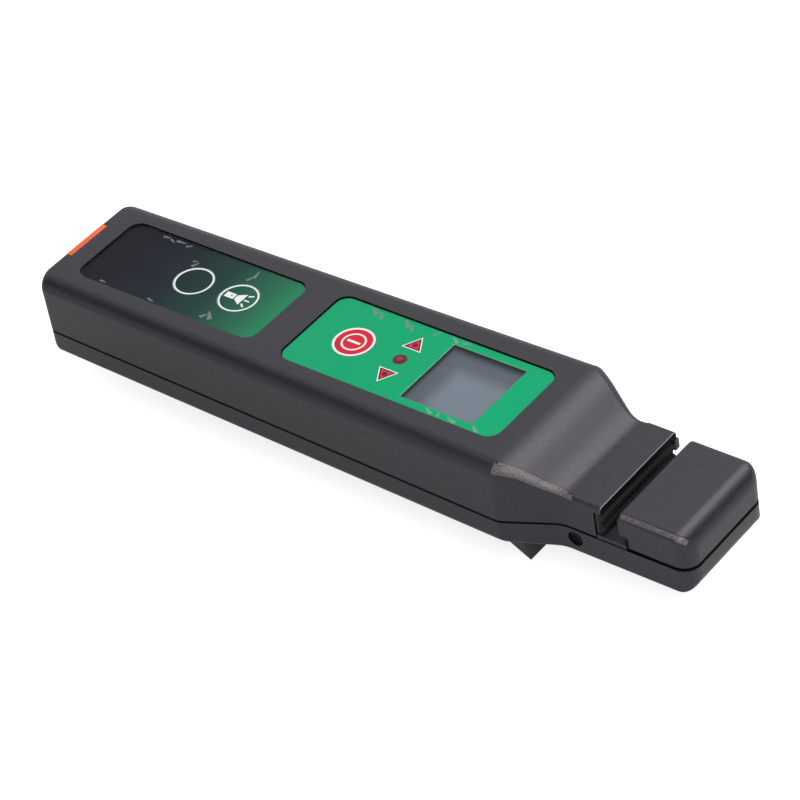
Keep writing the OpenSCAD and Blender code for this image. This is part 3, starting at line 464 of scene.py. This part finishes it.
def merged_copy(source, joined):
    """A copy of a CAD piece in one skin. Flat neighbours are joined up to an angle in degrees."""
    select_only(source)
    bpy.ops.object.duplicate()
    piece = bpy.context.object
    piece.parent = None
    del piece["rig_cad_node"]
    start_editing(piece, "VERT")
    bpy.ops.mesh.select_all(action="SELECT")
    bpy.ops.mesh.remove_doubles(threshold=merge_distance)
    if joined:
        bpy.ops.mesh.dissolve_limited(angle_limit=math.radians(joined))
    stop_editing()
    if piece.data.has_custom_normals:
        bpy.ops.mesh.customdata_custom_splitnormals_clear()
    return piece


# %% A softened copy
def soften(node, name, finish, edge=0.2, angle=32, steps=2, joined=0.3, where=None):
    """Rounds a copy's sharp edges a little and lets it stand in for the CAD piece.

    With where, only chosen edges are rounded. It lists tests of an edge's middle, each with the
    radius of its rounding."""
    piece = merged_copy(nodes[node], joined)
    bpy.ops.object.shade_smooth_by_angle(angle=math.radians(angle))
    if where:
        for wanted, radius in where:
            round_edges(piece, radius, 3 if radius > wide_rounding else steps, angle, wanted)
    else:
        bevel_all(piece, edge, steps, angle)
    bpy.ops.object.shade_smooth_by_angle(angle=math.radians(50))
    shading = piece.modifiers.new("shading", "WEIGHTED_NORMAL")
    shading.keep_sharp = True
    bpy.ops.object.modifier_apply(modifier=shading.name)
    paint(piece, finish)
    settle(piece, name, nodes[node]["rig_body"])
    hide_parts(node)
    print(name, "has", len(piece.data.polygons), "faces")
    return piece


# %% [markdown]
# ## The casing
#
# The casing is an upper and a lower shell, and a block that closes the head. A thin groove runs
# between the shells, so its two rims are rounded, and so is the lip of the slot. The block's top
# edge at the slot gets a wider rounding, because fibres are guided in over it.

# %% Where the casing's edges are, in mm
tail_x, groove_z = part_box("top_shell")[0].x/mm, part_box("top_shell")[0].z/mm
lip_x, top_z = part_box("top_shell")[1].x/mm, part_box("top_shell")[1].z/mm
slot_x, block_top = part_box("head_cap")[0].x/mm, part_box("head_cap")[1].z/mm
print("groove at z", round(groove_z, 2), " slot from x", round(lip_x, 2), "to", round(slot_x, 2))


def upper_rims(place):
    return place.z < groove_z + 0.05 or place.x > lip_x - 0.05


def lower_rim(place):
    return groove_z - 0.4 < place.z < groove_z - 0.3


def block_edge_at_slot(place):
    return place.z > block_top - 1.2 and place.x < slot_x + 0.1


def other_block_edges(place):
    return place.z < block_top - 2 or place.x > slot_x + 1


# %% The casing
upper_casing = soften("top_shell", "upper_casing", gunmetal, joined=0,
                      where=[(upper_rims, 0.2)])
lower_casing = soften("bottom_shell", "lower_casing", gunmetal, joined=0,
                      where=[(lower_rim, 0.2)])
head_block = soften("head_cap", "head_block", gunmetal,
                    where=[(block_edge_at_slot, 0.8), (other_block_edges, 0.2)])

# %% [markdown]
# ## Plastics, rubber and metals
#
# Most other pieces share a small family of finishes. Each is one Principled shader with a fine
# noise in its roughness and a shallow bump: moulded black plastic has a faint spark-eroded
# grain, rubber is duller and softer, and turned steel gets thin streaks along its length.

# %% Moulded plastics and rubber
def moulded(name, colour, roughness=0.5, grain=900, depth=0.02, specular=0.4):
    """Plastic from a lightly textured mould."""
    finish, tree, shader = new_finish(name, colour, roughness)
    patches = spread(tree, noise(tree, 90, 3), 0.35, 0.65)
    tree.links.new(blend_colours(tree, patches, colour, shade_of(colour, 0.82)),
                   shader.inputs["Base Color"])
    gloss = spread(tree, noise(tree, grain, 3), 0.3, 0.7, roughness - 0.06, roughness + 0.06)
    tree.links.new(gloss, shader.inputs["Roughness"])
    bump(tree, shader, noise(tree, grain*1.6, 2), depth*mm, 0.7)
    shader.inputs["Specular IOR Level"].default_value = specular
    return finish


orange_rubber = moulded("orange_rubber", swatch(238, 104, 58), 0.5, 1500, 0.015)
jaw_plastic = moulded("jaw_plastic", swatch(34, 33, 36), 0.45, 1200, 0.02)
trigger_plastic = moulded("trigger_plastic", swatch(76, 75, 79), 0.36, 1400, 0.02)
bed_plastic = moulded("bed_plastic", swatch(50, 49, 53), 0.4, 1400, 0.02)
inner_plastic = moulded("inner_plastic", swatch(24, 24, 26), 0.6)
pad_rubber = moulded("pad_rubber", swatch(22, 22, 23), 0.75, 700, 0.04, 0.25)
lamp_red = moulded("lamp_red", swatch(150, 20, 28), 0.18, 600, 0.003)
lamp_dark = moulded("lamp_dark", swatch(72, 16, 22), 0.2, 600, 0.003)
key_red = moulded("key_red", swatch(206, 16, 38), 0.42, 1800, 0.006, 0.3)
display_frame = moulded("display_frame", swatch(40, 41, 45), 0.6)


# %% Metals
streaks_along = {"X": (0.06, 1, 1), "Y": (1, 0.06, 1), "Z": (1, 1, 0.06)}


def drawn_metal(name, colour, roughness, along):
    """Turned or drawn metal, whose noise is stretched into streaks along one axis."""
    finish, tree, shader = new_finish(name, colour, roughness, 1.0)
    stretch = tree.nodes.new("ShaderNodeMapping")
    stretch.inputs["Scale"].default_value = streaks_along[along]
    tree.links.new(object_place(tree), stretch.inputs["Vector"])
    streaks = tree.nodes.new("ShaderNodeTexNoise")
    streaks.inputs["Scale"].default_value = 2500
    streaks.inputs["Detail"].default_value = 3
    tree.links.new(stretch.outputs[0], streaks.inputs["Vector"])
    gloss = spread(tree, streaks.outputs["Fac"], 0.3, 0.7, roughness - 0.08, roughness + 0.12)
    tree.links.new(gloss, shader.inputs["Roughness"])
    patches = spread(tree, noise(tree, 300, 3), 0.4, 0.7)
    tree.links.new(blend_colours(tree, patches, colour, shade_of(colour, 0.75)),
                   shader.inputs["Base Color"])
    bump(tree, shader, streaks.outputs["Fac"], 0.004*mm, 0.5)
    return finish


steel = drawn_metal("turned_steel", swatch(176, 178, 182), 0.28, "Y")
# The pin's end is near black: painted shade of the hole it sits in.
pin_end = drawn_metal("pin_end", swatch(30, 30, 33), 0.25, "Y")
dark_screw = drawn_metal("dark_screw", swatch(88, 88, 92), 0.36, "Z")
brass = drawn_metal("turned_brass", swatch(205, 172, 98), 0.3, "X")
cell_jacket = drawn_metal("cell_jacket", swatch(186, 150, 92), 0.35, "X")

# %% [markdown]
# ## Circuit board
#
# The boards hardly show. Their solder mask is a glossy green coat with copper tracks under it,
# so a Brick texture draws a faint, slightly paler track pattern.

# %% Board finish
board_mask, tree, shader = new_finish("board_mask", swatch(20, 84, 56), 0.3)
tracks = tree.nodes.new("ShaderNodeTexBrick")
tracks.inputs["Scale"].default_value = 160
tracks.inputs["Mortar Size"].default_value = 0.04
tracks.inputs["Color1"].default_value = swatch(20, 84, 56)
tracks.inputs["Color2"].default_value = swatch(18, 76, 52)
tracks.inputs["Mortar"].default_value = swatch(44, 120, 78)
tree.links.new(object_place(tree), tracks.inputs["Vector"])
tree.links.new(tracks.outputs["Color"], shader.inputs["Base Color"])
bump(tree, shader, tracks.outputs["Fac"], 0.03*mm, 0.4)

# %% [markdown]
# ## Printed films
#
# The two labels are thin films printed on the back, so their colour has a soft gloss over it.
# The rear one fades from near black at the tail to green at the head end. A Color Ramp along X
# draws the fade: its stops are given in millimetres along the tool.

# %% A film's finish
def film(name, stops, roughness=0.33):
    """A printed film whose colour changes along X. Each stop is (place in mm, colour)."""
    finish, tree, shader = new_finish(name, stops[0][1], roughness)
    first, last = stops[0][0], stops[-1][0]
    axes = tree.nodes.new("ShaderNodeSeparateXYZ")
    tree.links.new(object_place(tree), axes.inputs[0])
    ramp = tree.nodes.new("ShaderNodeValToRGB")
    tree.links.new(spread(tree, axes.outputs["X"], first*mm, last*mm), ramp.inputs["Fac"])
    while len(ramp.color_ramp.elements) < len(stops):
        ramp.color_ramp.elements.new(0.5)
    for element, (place, colour) in zip(ramp.color_ramp.elements, stops):
        element.position = (place - first)/(last - first)
        element.color = colour
    haze = spread(tree, noise(tree, 40, 2), 0.3, 0.7, 0, 0.03)
    tree.links.new(blend_colours(tree, haze, ramp.outputs["Color"], swatch(120, 130, 130)),
                   shader.inputs["Base Color"])
    gloss = spread(tree, noise(tree, 700, 3), 0.3, 0.7, roughness - 0.05, roughness + 0.08)
    tree.links.new(gloss, shader.inputs["Roughness"])
    bump(tree, shader, noise(tree, 120, 2), 0.01*mm, 0.3)
    shader.inputs["Specular IOR Level"].default_value = 0.1
    print(name, "has", len(stops), "stops over", round(last - first, 1), "mm")
    return finish


# %% Films
rear_film = film("rear_film", [(-92, swatch(9, 9, 22)), (-80, swatch(12, 15, 27)),
                               (-68, swatch(14, 26, 35)), (-54, swatch(19, 54, 50)),
                               (-40, swatch(32, 98, 72)), (-33, swatch(34, 124, 84))])
green_film = film("green_film", [(-23.1, swatch(10, 154, 102)), (43.9, swatch(10, 156, 104))])

# %% [markdown]
# ## Pale edges and painted shade
#
# Three more plastics: a pale one for the labels' cut edge, a painted highlight of the light it
# catches; a near black one, which is painted shade; and a pale line for the lip of the slot,
# partly wear by fibres and partly a painted highlight.

# %% Pale edges and painted shade
# The labels' pale cut edge is a painted highlight of the light line it catches.
film_edge_highlight = moulded("film_edge_highlight", swatch(150, 158, 160), 0.3, 900, 0.01)
# Near black: painted shade for recesses, gaps and holes.
painted_shade_black = moulded("painted_shade_black", swatch(10, 10, 12), 0.75, 900, 0.02, 0.1)
# A pale line on the lip of the slot: partly wear, partly a painted highlight.
worn_edge_highlight = moulded("worn_edge_highlight", swatch(122, 117, 112), 0.4, 1800, 0.02)

# %% [markdown]
# ## Inks
#
# The marks are screen printed in three inks. Printing ink is never perfectly even, so a fine
# noise makes it slightly darker in small spots, and a very shallow bump breaks up its gloss.

# %% Inks
def ink(name, colour, specular=0.3):
    finish, tree, shader = new_finish(name, colour, 0.4)
    worn = spread(tree, noise(tree, 1800, 3), 0.5, 0.75)
    tree.links.new(blend_colours(tree, worn, colour, shade_of(colour, 0.9)),
                   shader.inputs["Base Color"])
    bump(tree, shader, noise(tree, 3000, 2), 0.004*mm, 0.5)
    shader.inputs["Specular IOR Level"].default_value = specular
    return finish


white_ink = ink("white_ink", swatch(226, 230, 232))
red_ink = ink("red_ink", swatch(214, 34, 54))
brown_ink = ink("brown_ink", swatch(70, 30, 34))

# %% [markdown]
# ## Glass of the display
#
# The window is a clear pane. It is a Principled shader with a low alpha, which lets most light
# straight through and keeps a faint reflection. The display itself is a liquid-crystal sheet of
# a slightly blue grey. It looks darker along its far edge and its tail edge, where the frame's
# shade falls on it, so two ranges, one across and one along the tool, draw that band.

# %% Window
window_glass, tree, shader = new_finish("window_glass", swatch(205, 214, 220), 0.08)
shader.inputs["Alpha"].default_value = 0.05
shader.inputs["Specular IOR Level"].default_value = 0.25
gloss = spread(tree, noise(tree, 150, 3), 0.3, 0.7, 0.05, 0.12)
tree.links.new(gloss, shader.inputs["Roughness"])
window_glass.surface_render_method = "BLENDED"

# %% Display sheet
dark_from_y, dark_to_y = 2.6*mm, 7*mm
dark_from_x, dark_to_x = 21.5*mm, 17.5*mm
crystal_sheet, tree, shader = new_finish("crystal_sheet", swatch(112, 124, 134), 0.45)
axes = tree.nodes.new("ShaderNodeSeparateXYZ")
tree.links.new(object_place(tree), axes.inputs[0])
shade = tree.nodes.new("ShaderNodeMath")
shade.operation = "MAXIMUM"
tree.links.new(spread(tree, axes.outputs["Y"], dark_from_y, dark_to_y), shade.inputs[0])
tree.links.new(spread(tree, axes.outputs["X"], dark_from_x, dark_to_x), shade.inputs[1])
clouds = spread(tree, noise(tree, 120, 2), 0.3, 0.7)
cell_grey = blend_colours(tree, clouds, swatch(92, 104, 117), swatch(96, 108, 121))
tree.links.new(blend_colours(tree, shade.outputs[0], cell_grey, swatch(57, 63, 79)),
               shader.inputs["Base Color"])
bump(tree, shader, noise(tree, 300, 1), 0.002*mm, 0.2)
shader.inputs["Specular IOR Level"].default_value = 0.2

# %% [markdown]
# ## Painting the CAD pieces that keep their shape
#
# Many inner pieces are right as they are. Each CAD node already carries a named material slot,
# so a table from slot to finish paints them all in one loop. A few nodes then get a finish of
# their own.

# %% Slots to finishes
finish_of_slot = {"casing": gunmetal, "orange": orange_rubber, "navy": rear_film,
                  "green": green_film, "red": key_red, "red_lamp": lamp_red,
                  "jaw_black": jaw_plastic, "pad_rubber": pad_rubber,
                  "inner_black": inner_plastic, "steel": steel, "brass": brass,
                  "cell": cell_jacket, "board": board_mask, "window": window_glass,
                  "lcd": display_frame}
finish_of_node = {"torch_key": rear_film, "case_screws": dark_screw, "head_screws": dark_screw,
                  "trigger_pivot_pin": pin_end, "pivot_clips": pin_end}
painted = 0
for node in nodes.values():
    for place in node.material_slots:
        place.material = finish_of_slot[place.material.name.split(".")[0]]
        painted += 1
for name, finish in finish_of_node.items():
    nodes[name].material_slots[0].material = finish
print("slots painted:", painted, " of which again:", len(finish_of_node))

# %% [markdown]
# ## A second finish on some faces
#
# A piece can carry more than one material, and each face says which one it shows. This helper
# gives the faces that pass a test, of their centre in mm and their normal, another finish.

# %% Second finish
def second_finish(piece, finish, wanted):
    piece.data.materials.append(finish)
    number = len(piece.data.materials) - 1
    changed = [face for face in piece.data.polygons if wanted(face.center/mm, face.normal)]
    for face in changed:
        face.material_index = number
    print(piece.name, "has", len(changed), "faces in", finish.name)


# %% [markdown]
# ## Labels, keys, the tail's cover and the hatch
#
# The labels' edges catch a thin line of light, so their copies get a very small bevel, and its
# slanting faces a pale finish, a painted highlight of that line. The keys are caps that come up
# through the label, with a hairline gap round each. Two have the label's own colour, and the
# power key is red.

# %% Softened labels and keys
rear_label = soften("rear_overlay", "rear_label", rear_film, 0.1)
display_label = soften("display_overlay", "display_label", green_film, 0.1)
soften("vfl_key", "laser_key_cap", rear_film, 0.06)
soften("torch_key", "torch_key_cap", rear_film, 0.06)
soften("power_key", "power_key_cap", key_red, 0.06)
soften("port_cover", "tail_cover", orange_rubber, 0.2)
for label in (rear_label, display_label):
    # The slanting edge faces get the pale painted highlight.
    second_finish(label, film_edge_highlight, lambda place, normal: 0.15 < normal.z < 0.97)
soften("battery_door", "battery_hatch", gunmetal, 0.15)

# %% [markdown]
# ## Painted shade and painted highlights
#
# The walls of the recesses, the groove between the shells, the slot, the pin's hole and the
# pocket at the tail
# are painted near black: painted shade, which draws the thin black lines round the labels and
# along the casing.
# The shoulder's near edge and the head's near corner get a pale painted highlight, and the lip of
# the slot a pale line that is partly wear and partly a painted highlight.

# %% Tests for painted shade, in mm
def middle(node):
    """The middle of a CAD piece's box, as [x, y, z] in mm."""
    low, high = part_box(node)
    return [(a + b)/2/mm for a, b in zip(low, high)]


recess_x, recess_half_width, recess_depth = (-92.6, 44.6), 14, 2.2
pocket_depth, pocket_half_width = 2.7, 7.5
groove_depth = 0.65
pivot_hole_r = 2.35
pin = middle("trigger_pivot_pin")
print("pin's hole at x", round(pin[0], 2), " z", round(pin[2], 2))


def in_recess(place, normal):
    return (top_z - recess_depth < place.z < top_z - 0.12
            and recess_x[0] < place.x < recess_x[1] and abs(place.y) < recess_half_width)


def in_tail_pocket(place, normal):
    return (tail_x + 0.1 < place.x < tail_x + pocket_depth
            and abs(place.y) < pocket_half_width and place.z > groove_z + 1)


def above_groove(place, normal):
    return normal.z < -0.3 and place.z < groove_z + 0.25


def below_groove(place, normal):
    return normal.z > 0.3 and groove_z - groove_depth < place.z < groove_z


def in_pivot_hole(place, normal):
    return (math.hypot(place.x - pin[0], place.z - pin[2]) < pivot_hole_r
            and abs(place.y) > 10 and abs(normal.y) < 0.95)


def lip_faces_slot(place, normal):
    return place.x > lip_x - 3 and normal.x > 0.5 and place.z < block_top - 0.5


def block_faces_slot(place, normal):
    return normal.x < -0.5 and place.z < groove_z + 3.4


# %% Tests for the painted highlights, in mm
shoulder_x, neck_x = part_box("display_overlay")[1].x/mm + 5.5, lip_x - 8.5
print("rubbed from x", round(shoulder_x, 1), "to", round(neck_x, 1))


def on_shoulder_edge(place, normal):
    return (shoulder_x < place.x < neck_x and place.y < 0
            and 0.3 < normal.z < 0.95 and normal.y < -0.2)


def on_block_edge(place, normal):
    """The block's near top edge, and the corner where it meets the end wall."""
    along_edge = 0.6 < normal.z < 0.92
    at_corner = 0.3 < normal.z < 0.95 and 0.25 < normal.x < 0.8
    return place.x > slot_x + 0.5 and normal.y < -0.3 and (along_edge or at_corner)


def on_lip(place, normal):
    return place.x > lip_x - 0.3 and normal.x > 0.2 and normal.z > 0.2


# %% Faces with painted shade and painted highlights
def any_of(*tests):
    return lambda place, normal: any(test(place, normal) for test in tests)


# Painted shade: near black in the recesses, the tail pocket, the groove, the slot and the pin's
# hole.
second_finish(upper_casing, painted_shade_black,
              any_of(in_recess, in_tail_pocket, above_groove, lip_faces_slot))
second_finish(lower_casing, painted_shade_black, any_of(below_groove, in_pivot_hole))
second_finish(head_block, painted_shade_black, any_of(above_groove, block_faces_slot))
# Painted highlights: a paler finish on the head's near edge and corner, and on the shoulder's
# near edge.
second_finish(head_block, highlight_paint, on_block_edge)
second_finish(upper_casing, highlight_paint, on_shoulder_edge)
# The lip's pale line: partly wear, partly a painted highlight.
second_finish(upper_casing, worn_edge_highlight, on_lip)

# %% [markdown]
# ## Printed marks
#
# Inks stand a few hundredths of a millimetre above the film. A ring starts as a filled circle:
# Inset makes a second edge inside, the middle face is deleted, and Extrude gives the ink its
# thickness.

# %% Ink helpers
ink_t = 0.03*mm
label_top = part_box("display_overlay")[1].z
rear_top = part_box("rear_overlay")[1].z
print("labels' top at z", round(rear_top/mm, 2), "and", round(label_top/mm, 2), "mm")


def give_ink_thickness(piece):
    start_editing(piece)
    bpy.ops.mesh.select_all(action="SELECT")
    bpy.ops.mesh.extrude_region_move(TRANSFORM_OT_translate={"value": (0, 0, ink_t)})
    stop_editing()
    outward(piece)
    return piece


def inset_circle(x, y, z, radius, corners, inset):
    """A filled circle with a second edge inside it, in Edit Mode and with its middle selected."""
    bpy.ops.object.select_all(action="DESELECT")
    bpy.ops.mesh.primitive_circle_add(vertices=corners, radius=radius*mm, fill_type="NGON",
                                      location=(x*mm, y*mm, z))
    circle = bpy.context.object
    start_editing(circle)
    bpy.ops.mesh.select_all(action="SELECT")
    bpy.ops.mesh.inset(thickness=inset*mm, depth=0)
    return circle


def printed_ring(x, y, z, outer, line, corners=72):
    ring = inset_circle(x, y, z, outer, corners, line)
    bpy.ops.mesh.delete(type="FACE")
    stop_editing()
    return give_ink_thickness(ring)


def printed_disc(x, y, z, radius, corners=48):
    disc = inset_circle(x, y, z, radius, corners, 0.06)
    stop_editing()
    return give_ink_thickness(disc)


# %% Bars, and joining the parts of a mark
def printed_bar(x, y, z, length, width, turn=0, taper=1):
    """A flat bar along X, turned about Z in degrees, whose far end may be narrower or wider."""
    bpy.ops.object.select_all(action="DESELECT")
    bpy.ops.mesh.primitive_plane_add(size=1, location=(x*mm, y*mm, z),
                                     rotation=(0, 0, math.radians(turn)))
    bar = bpy.context.object
    bar.scale = (length*mm, width*mm, 1)
    bpy.ops.object.transform_apply(location=False, rotation=False, scale=True)
    if taper != 1:
        for vertex in bar.data.vertices:
            if vertex.co.x > 0:
                vertex.co.y *= taper
    return give_ink_thickness(bar)


def join(name, body, finish, slot, *parts):
    """Joins parts into one piece that moves with its body."""
    select_only(parts[0])
    for part in parts:
        part.select_set(True)
    if len(parts) > 1:
        bpy.ops.object.join()
    piece = bpy.context.object
    paint(piece, finish)
    settle(piece, name, body)
    print(name, "has", len(piece.data.polygons), "faces")
    return piece


# %% [markdown]
# ## Marks on the keys
#
# The laser key carries a ring, the torch key a ring with a torch in it, and the power key two
# rings and a bar. The torch is a handle, a flaring head and three rays, and a dot for its
# switch.

# %% Rings and marks on the keys
laser_x, torch_x, power_x = [middle(key)[0] for key in ("vfl_key", "torch_key", "power_key")]
join("laser_key_ring", "vfl_key", white_ink, "navy",
     printed_ring(laser_x, 0, rear_top, 5.4, 0.52))
join("torch_key_mark", "torch_key", white_ink, "green",
     printed_ring(torch_x, 0, rear_top, 5.4, 0.5),
     printed_bar(torch_x - 2.72, 0, rear_top, 2.95, 2.0),
     printed_bar(torch_x + 0.27, 0, rear_top, 2.27, 1.6, 0, 2.75),
     printed_bar(torch_x + 2.64, 0, rear_top, 1.73, 0.45),
     printed_bar(torch_x + 2.67, 1.97, rear_top, 1.5, 0.5, 29),
     printed_bar(torch_x + 2.67, -1.93, rear_top, 1.5, 0.5, -40))
join("torch_mark_switch", "torch_key", brown_ink, "green",
     printed_disc(torch_x - 2.24, 0, rear_top + ink_t*0.6, 0.24, 24))
join("power_key_mark", "power_key", white_ink, "red",
     printed_ring(power_x, 0, label_top, 5.5, 0.62),
     printed_ring(power_x, 0, label_top, 3.3, 0.5),
     printed_bar(power_x, 0, label_top, 3.9, 0.75))
print("keys at x:", round(laser_x, 1), round(torch_x, 1), round(power_x, 1))

# %% [markdown]
# ## Scuffs on the protective film
#
# The labels still wear their protective film, which has whitish scuffs along its edges. Each is
# a thin translucent fleck: a flat bar, tapered and turned. They are joined into one piece for
# each label.

# %% Scuff finish
film_scuff, tree, shader = new_finish("film_scuff", swatch(206, 216, 214), 0.5)
shader.inputs["Alpha"].default_value = 0.24
gloss = spread(tree, noise(tree, 900, 3), 0.3, 0.7, 0.35, 0.65)
tree.links.new(gloss, shader.inputs["Roughness"])
film_scuff.surface_render_method = "BLENDED"


# %% Scuffs
def scuffs(name, z, slot, *places):
    """Flecks at (x, y, length, width, turn), joined into one piece."""
    narrow_end = 0.35
    join(name, "case", film_scuff, slot,
         *[printed_bar(x, y, z, length, width, turn, narrow_end)
           for x, y, length, width, turn in places])


scuffs("rear_label_scuffs", rear_top, "navy",
       (-80.5, 11.1, 2.2, 0.8, 10), (-78.2, 10.6, 1.8, 0.7, -20), (-75.6, 11.2, 3.0, 0.8, 5),
       (-72.6, 10.8, 1.8, 0.8, 30), (-66, 5.5, 2.2, 0.9, 60), (-66.8, 6.6, 1.5, 0.7, 20),
       (-48.7, 9.6, 2.8, 0.9, 100), (-49.2, 7.8, 2.5, 0.8, 70), (-49, -9, 3.2, 1.4, 130),
       (-50.4, -9.8, 2.0, 1.1, 60), (-83.5, -11.2, 2.0, 0.7, 0), (-67, -11.3, 2.2, 0.7, -10))
scuffs("display_label_scuffs", label_top, "green",
       (-12, 12.2, 2.8, 1.4, 150), (-9.5, 11.6, 2.5, 1.2, 120), (-1.5, 12, 3.0, 1.4, 140),
       (0.6, 11, 2.2, 0.9, 110), (7.5, 12.4, 2.2, 0.9, 60), (13, 12.5, 3.0, 1.2, 150),
       (16.5, 12.6, 2.0, 0.9, 20), (23.5, -12.3, 2.8, 1.1, 150), (30.5, -12.5, 3.0, 1.2, 160),
       (37.5, -12.4, 2.5, 1.1, 140), (26.4, -12.3, 1.5, 0.8, 120))

# %% [markdown]
# ## Direction arrows and lamps
#
# Two triangles point to the ends of the fibre, with a lamp in each, and a third lamp sits
# between them. A circle with three corners is a triangle. Its outline is the same inset ring as
# before, and the red field is a smaller copy inside.

# %% Arrows
lamp_x = middle("signal_led")[0]
arrow_y, arrow_r, field_r, outline_t = 6.1, 3.4, 2.8, 0.62


def arrow(name, side):
    """A triangle that points away from the middle, on the far side (1) or the near side (-1)."""
    outline = printed_ring(lamp_x, arrow_y*side, label_top, arrow_r, outline_t, 3)
    field = printed_disc(lamp_x, arrow_y*side, label_top, field_r, 3)
    if side < 0:
        for part in (outline, field):
            select_only(part)
            bpy.ops.transform.rotate(value=math.pi, orient_axis="Z",
                                     center_override=part.location)
    join(name + "_outline", "case", white_ink, "green", outline)
    join(name + "_field", "case", red_ink, "red", field)


arrow("far_arrow", 1)
arrow("near_arrow", -1)

# %% [markdown]
# ## Lamp lenses
#
# The lamps are low lenses: a short cylinder whose top face is inset and lifted twice, which
# makes a shallow dome.

# %% Lamp lenses
arrow_lamp_y, arrow_lamp_r, signal_lamp_r = 6.2, 0.75, 0.85


def lens(name, y, radius, height, finish):
    bpy.ops.object.select_all(action="DESELECT")
    lamp_z = label_top + ink_t + height*mm/2
    bpy.ops.mesh.primitive_cylinder_add(vertices=32, radius=radius*mm, depth=height*mm,
                                        location=(lamp_x*mm, y*mm, lamp_z))
    lamp = bpy.context.object
    pick_faces(lamp, lambda centre, normal: normal.z > 0.9)
    for inset, lift in ((0.3, 0.3), (0.35, 0.12)):
        bpy.ops.mesh.inset(thickness=inset*radius*mm)
        bpy.ops.transform.translate(value=(0, 0, lift*height*mm))
    stop_editing()
    bpy.ops.object.shade_smooth_by_angle(angle=math.radians(60))
    join(name, "case", finish, "red_lamp", lamp)


lens("far_arrow_lamp", arrow_lamp_y, arrow_lamp_r, 0.1, lamp_dark)
lens("near_arrow_lamp", -arrow_lamp_y, arrow_lamp_r, 0.1, lamp_dark)
join("signal_lamp_ring", "case", brown_ink, "red_lamp",
     printed_ring(lamp_x, 0, label_top, 1.9, 1.0))
lens("signal_lamp_lens", 0, signal_lamp_r, 0.14, lamp_red)
print("lamps at x", round(lamp_x, 1))

# %% [markdown]
# ## The display
#
# Under the window lies the display module, a black frame round a well. The grey crystal sheet
# sits on the well's floor: a cube stretched to size, with its upper edges bevelled.

# %% Crystal sheet
well_depth, sheet_in, sheet_t = 1.9*mm, 1.25*mm, 1.85*mm
low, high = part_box("lcd_module")
bpy.ops.object.select_all(action="DESELECT")
bpy.ops.mesh.primitive_cube_add(size=1, location=((low.x + high.x)/2, 0,
                                                  high.z - well_depth + sheet_t/2))
sheet = bpy.context.object
sheet.scale = (high.x - low.x - 2*sheet_in, high.y - low.y - 2*sheet_in, sheet_t)
bpy.ops.object.transform_apply(location=False, rotation=False, scale=True)
pick_faces(sheet, lambda centre, normal: normal.z > 0.9)
bpy.ops.mesh.bevel(offset=0.05*mm, segments=2, affect="EDGES")
stop_editing()
crystal = join("display_sheet", "case", crystal_sheet, "lcd", sheet)
print("display sheet", [round(v/mm, 1) for v in crystal.dimensions])

# %% [markdown]
# ## Slot, jaw and trigger
#
# The slot's pieces are close together and dark, so what shows is their edges. Each copy gets a
# bevel of a size that its moulding would have. The finger's trigger has the widest one.

# %% Softened working pieces
soften("clamp_jaw", "jaw", jaw_plastic, 0.12)
soften("jaw_pad", "jaw_face_pad", pad_rubber, 0.15)
soften("slot_bed", "bed", bed_plastic, 0.12)
soften("detector_anvil", "anvil", jaw_plastic, 0.12)
soften("trigger", "trigger_lever", trigger_plastic, 0.35)
